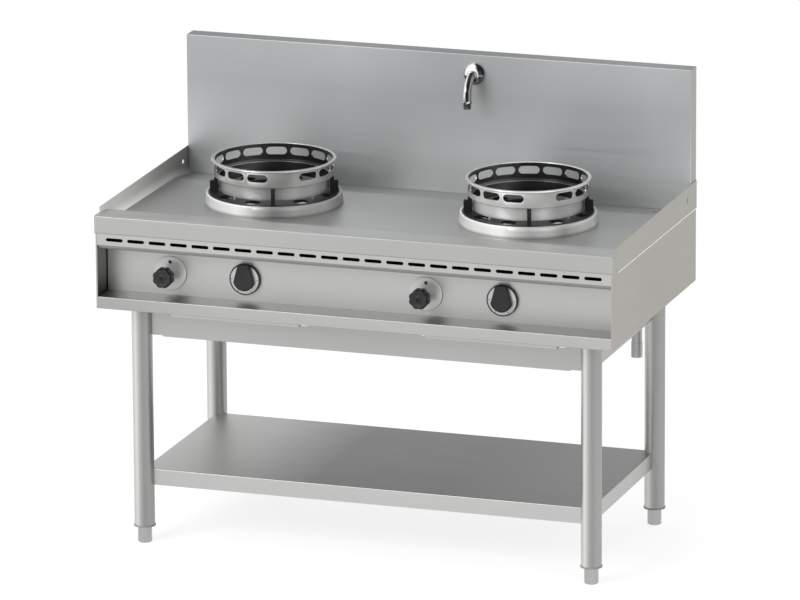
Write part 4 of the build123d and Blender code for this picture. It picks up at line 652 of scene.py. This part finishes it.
def knob_place(side, y):
    """Placement on a safety knob's axis, which lies below the tip of its pointer."""
    low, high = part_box(f"{side}_safety_knob")
    return facing_front((low.x + high.x) / 2, y, high.z - KNOB_TIP * MM)


def safety_knob(side):
    """Teardrop pointer with an eased face, on its spindle."""
    low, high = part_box(f"{side}_safety_knob")
    place, spindle = knob_place(side, low.y), (high.y - low.y) / MM
    start = math.radians(KNOB_START)
    outline = []
    for i in range(KNOB_STEPS + 1):
        a = start - (math.pi + 2 * start) * i / KNOB_STEPS
        outline.append((KNOB_RADIUS * MM * math.cos(a), KNOB_RADIUS * MM * math.sin(a)))
    tip = in_mm((-TIP_HALF, KNOB_TIP, TIP_ROUND), (TIP_HALF, KNOB_TIP, TIP_ROUND))
    outline += soften([outline[-1], *tip, outline[0]], 8)[1:-1]
    layers = []
    for inset, depth in KNOB_ROWS:
        wide, tall, middle = 1 - inset / KNOB_HALF_WIDE, 1 - inset / KNOB_HALF_TALL, KNOB_MIDDLE * MM
        layers.append([(u * wide, middle + (v - middle) * tall, -depth * MM) for u, v in outline])
    stem = spun(soften(in_mm((HAIR, -7), (4, -7), (4, -spindle), (HAIR, -spindle))), place, 48)
    piece(f"{side}_knob_moulded", *joined([layered(layers, place), stem]), black, "black_plastic",
          f"{side}_knob", (f"{side}_safety_knob",), 50)


def bezel(side):
    """Black cup with an eased rim round the dial."""
    section = soften(in_mm((10, 0), (41.5, 0), (41.5, 9, 1.0), (39.5, 9, 0.4), (39.5, 7), (10, 7)))
    piece(f"{side}_bezel_cup", *spun(section, knob_place(side, PANEL_Y)), black, "black_plastic",
          "range", (f"{side}_knob_bezel",))


for side in SIDES:
    wok_ring(side)
    handwheel(side)
    safety_knob(side)
    bezel(side)

# dials: satin plates with eased edges, printed marks and a black index dot; the plates carry painted
# highlight and shade on their rims
MARK_ANGLES = (90, 150, 210, 270)
INDEX_RISE = 29.5
plates, prints = [], []
for side in SIDES:
    on_wheel, on_knob = wheel_place(side, PANEL_Y), knob_place(side, PANEL_Y)
    plates.append(spun(soften(in_mm((5.5, 0), (45, 0), (45, 3, 1.3), (5.5, 3, 0.3))), on_wheel))
    plates.append(spun(soften(in_mm((10, 7), (39.2, 7), (39.2, 8, 0.4), (10, 8, 0.2))), on_knob))
    dot = soften(in_mm((0.2, 2.9), (4.8, 2.9), (4.8, 3.15, 0.1), (0.2, 3.15)))
    prints.append(spun(dot, wheel_place(side, PANEL_Y, INDEX_RISE * MM), 32))
    bar = in_mm((-0.7, 33), (0.7, 33), (0.7, 37.5), (-0.7, 37.5))
    for degrees in MARK_ANGLES:
        turned = on_knob @ Matrix.Rotation(-math.radians(degrees), 4, "Z")
        prints.append(prism(bar, 7.9 * MM, 8.12 * MM, turned))
    prints.append(spun(in_mm((38.0, 7.9), (38.7, 7.9), (38.7, 8.1), (38.0, 8.1)), on_knob))
piece("dials_satin", *joined(plates), looks["dial_aluminium"], "dial_aluminium", "range",
      ("dial_plates",))
piece("dial_marks", *joined(prints), black, "black_plastic", "range")

# tap: domed rosette, bent spout and a stepped aerator, plated with painted reflections
DOME_STEPS, DOME_ARC, DOME_ROUND = 16, 95, 16.05
low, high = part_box("tap_rosette")
tap_x, tap_z, wall_y = (low.x + high.x) / 2, (low.z + high.z) / 2, high.y
dome = [(11.3, 0), (28.4, 0), (28.5, 1.6)]
for i in range(DOME_STEPS + 1):
    a = math.radians(DOME_ARC * i / DOME_STEPS)
    dome.append((12.45 + DOME_ROUND * math.cos(a), 3 + DOME_ROUND * math.sin(a)))
dome.append((11.3, 18.9))
piece("rosette_dome", *spun(in_mm(*dome), facing_front(tap_x, wall_y, tap_z), 128), rosette_reflection_look,
      "tap_chrome", "range", ("tap_rosette",), 50)

TUBE, BEND = 11 * MM, 48 * MM  # radius of the tube and of its middle line in the bend
BEND_STEPS, TUBE_STEPS = 24, 64
low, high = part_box("tap_spout")
drop_y = low.y + TUBE
route = [(Vector((tap_x, high.y, tap_z)), Vector((0, -1, 0)))]
for i in range(BEND_STEPS + 1):
    a = math.radians(90 * i / BEND_STEPS)
    at = Vector((tap_x, drop_y + BEND - BEND * math.sin(a), tap_z - BEND + BEND * math.cos(a)))
    route.append((at, Vector((0, -math.cos(a), -math.sin(a)))))
route.append((Vector((tap_x, drop_y, low.z)), Vector((0, 0, -1))))
loops = []
for at, along in route:
    side_way = Vector(RIGHTWARD)
    up_way = side_way.cross(along)
    loops.append([at + TUBE * (math.cos(b) * side_way + math.sin(b) * up_way)
                  for b in (2 * math.pi * i / TUBE_STEPS for i in range(TUBE_STEPS))])
piece("spout_bent", *layered(loops, Matrix.Identity(4)), looks["tap_chrome"], "tap_chrome", "range",
      ("tap_spout",), 50)

low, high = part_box("tap_aerator")
mouth = (high.z - low.z) / MM
nozzle = soften(in_mm((8, 0), (10, 0, 0.8), (11, mouth - 7), (13.25, mouth - 7, 1.0),
                      (13.25, mouth, 1.4), (8, mouth)))
piece("aerator_turned", *spun(nozzle, standing(tap_x, (low.y + high.y) / 2, low.z), 96), aerator_reflection_look,
      "tap_chrome", "range", ("tap_aerator",), 50)

# hem that slopes down and back from the lower edge of the vent strip, coloured dark as painted shade
HEM_STEPS, HEM_RUN, HEM_DROP, HEM_BOW = 12, 7.0, 11.0, 0.9
low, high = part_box("vent_strip")
slope = [(0.1, 0.0)]
for i in range(HEM_STEPS + 1):
    slope.append((0.1 + HEM_RUN * i / HEM_STEPS, -HEM_DROP * (i / HEM_STEPS) ** HEM_BOW))
slope += [(8.0, -HEM_DROP), (8.0, 0.0)]
rows = [[(x, low.y + u * MM, low.z + v * MM) for u, v in slope] for x in (low.x + MM, high.x - MM)]
piece("vent_hem", *layered(rows, Matrix.Identity(4)), hem_shade_look, "body_steel", "range", None, 60)

# edge of the cheek flange where it overlaps each side panel, coloured near-white as a painted highlight
SEAM_FRONT, SEAM_DROP = 43, 4  # from the panel's front edge and from its top
seam = in_mm((0.0, -3.2), (0.9, -3.0), (1.4, -2.0), (1.5, -0.3), (0.0, -0.3))
for side, sign in zip(SIDES, (-1, 1)):
    low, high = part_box(f"{side}_side_panel")
    face_x, seam_z = high.x if sign > 0 else low.x, high.z - SEAM_DROP * MM
    rows = [[(face_x + sign * u, y, seam_z + v) for u, v in seam]
            for y in (low.y + SEAM_FRONT * MM, high.y - MM)]
    piece(f"{side}_seam", *layered(rows, Matrix.Identity(4)), seam_highlight_look, "body_steel", "range", None, 60)


# ---- floor, backdrop and light ---------------------------------------------------------
def seen(tree):
    """1 for a ray from the camera, straight, off a mirror or through glass, and else 0."""
    paths = add(tree, "ShaderNodeLightPath")
    straight = add(tree, "ShaderNodeMath", operation="MAXIMUM")
    tree.links.new(paths.outputs["Is Camera Ray"], straight.inputs[0])
    tree.links.new(paths.outputs["Is Glossy Ray"], straight.inputs[1])
    either = add(tree, "ShaderNodeMath", operation="MAXIMUM")
    tree.links.new(straight.outputs[0], either.inputs[0])
    tree.links.new(paths.outputs["Is Transmission Ray"], either.inputs[1])
    return either.outputs[0]


FLOOR_REACH, FLOOR_GREY, FLOOR_GLOW = 40, 0.35, 0.78
WORLD_LIGHT, WORLD_SEEN = 0.55, 1.0
floor_mesh = bpy.data.meshes.new("floor")
floor_mesh.from_pydata(
    [(x * FLOOR_REACH, y * FLOOR_REACH, 0) for x, y in ((-1, -1), (1, -1), (1, 1), (-1, 1))],
    [], [(0, 1, 2, 3)])
floor = linked("floor", floor_mesh)
floor_white, tree, bsdf = new_material("floor_white")
bsdf.inputs["Base Color"].default_value = (FLOOR_GREY, FLOOR_GREY, FLOOR_GREY, 1)
bsdf.inputs["Roughness"].default_value = 0.9
bsdf.inputs["Specular IOR Level"].default_value = 0.0
glow = add(tree, "ShaderNodeMath", operation="MULTIPLY")
glow.inputs[1].default_value = FLOOR_GLOW
tree.links.new(seen(tree), glow.inputs[0])
bsdf.inputs["Emission Color"].default_value = (1, 1, 1, 1)
tree.links.new(glow.outputs[0], bsdf.inputs["Emission Strength"])
floor_mesh.materials.append(floor_white)

world = bpy.data.worlds.new("studio")
bpy.context.scene.world = world
world.use_nodes = True
tree = world.node_tree
ground = tree.nodes["Background"]
level = add(tree, "ShaderNodeMapRange", **{"To Min": WORLD_LIGHT, "To Max": WORLD_SEEN})
tree.links.new(seen(tree), level.inputs["Value"])
ground.inputs["Color"].default_value = (1, 1, 1, 1)
tree.links.new(level.outputs["Result"], ground.inputs["Strength"])


def lamp(name, at, aim, size, power):
    """A rectangular lamp that looks at a point."""
    light = bpy.data.lights.new(name, "AREA")
    light.shape = "RECTANGLE"
    light.size, light.size_y = size
    light.energy = power
    obj = linked(name, light)
    obj.location = at
    obj.rotation_euler = (Vector(aim) - Vector(at)).to_track_quat("-Z", "Y").to_euler()


lamp("key", (-3.0, -5.5, 4.2), (0, 0, 0.8), (3.5, 2.5), 220)
lamp("fill", (5.0, -4.0, 2.6), (0, 0, 0.8), (3.0, 2.5), 60)
lamp("top", (0.0, 0.5, 5.0), (0, 0, 0.9), (4.0, 3.0), 30)

bpy.context.view_layer.update()
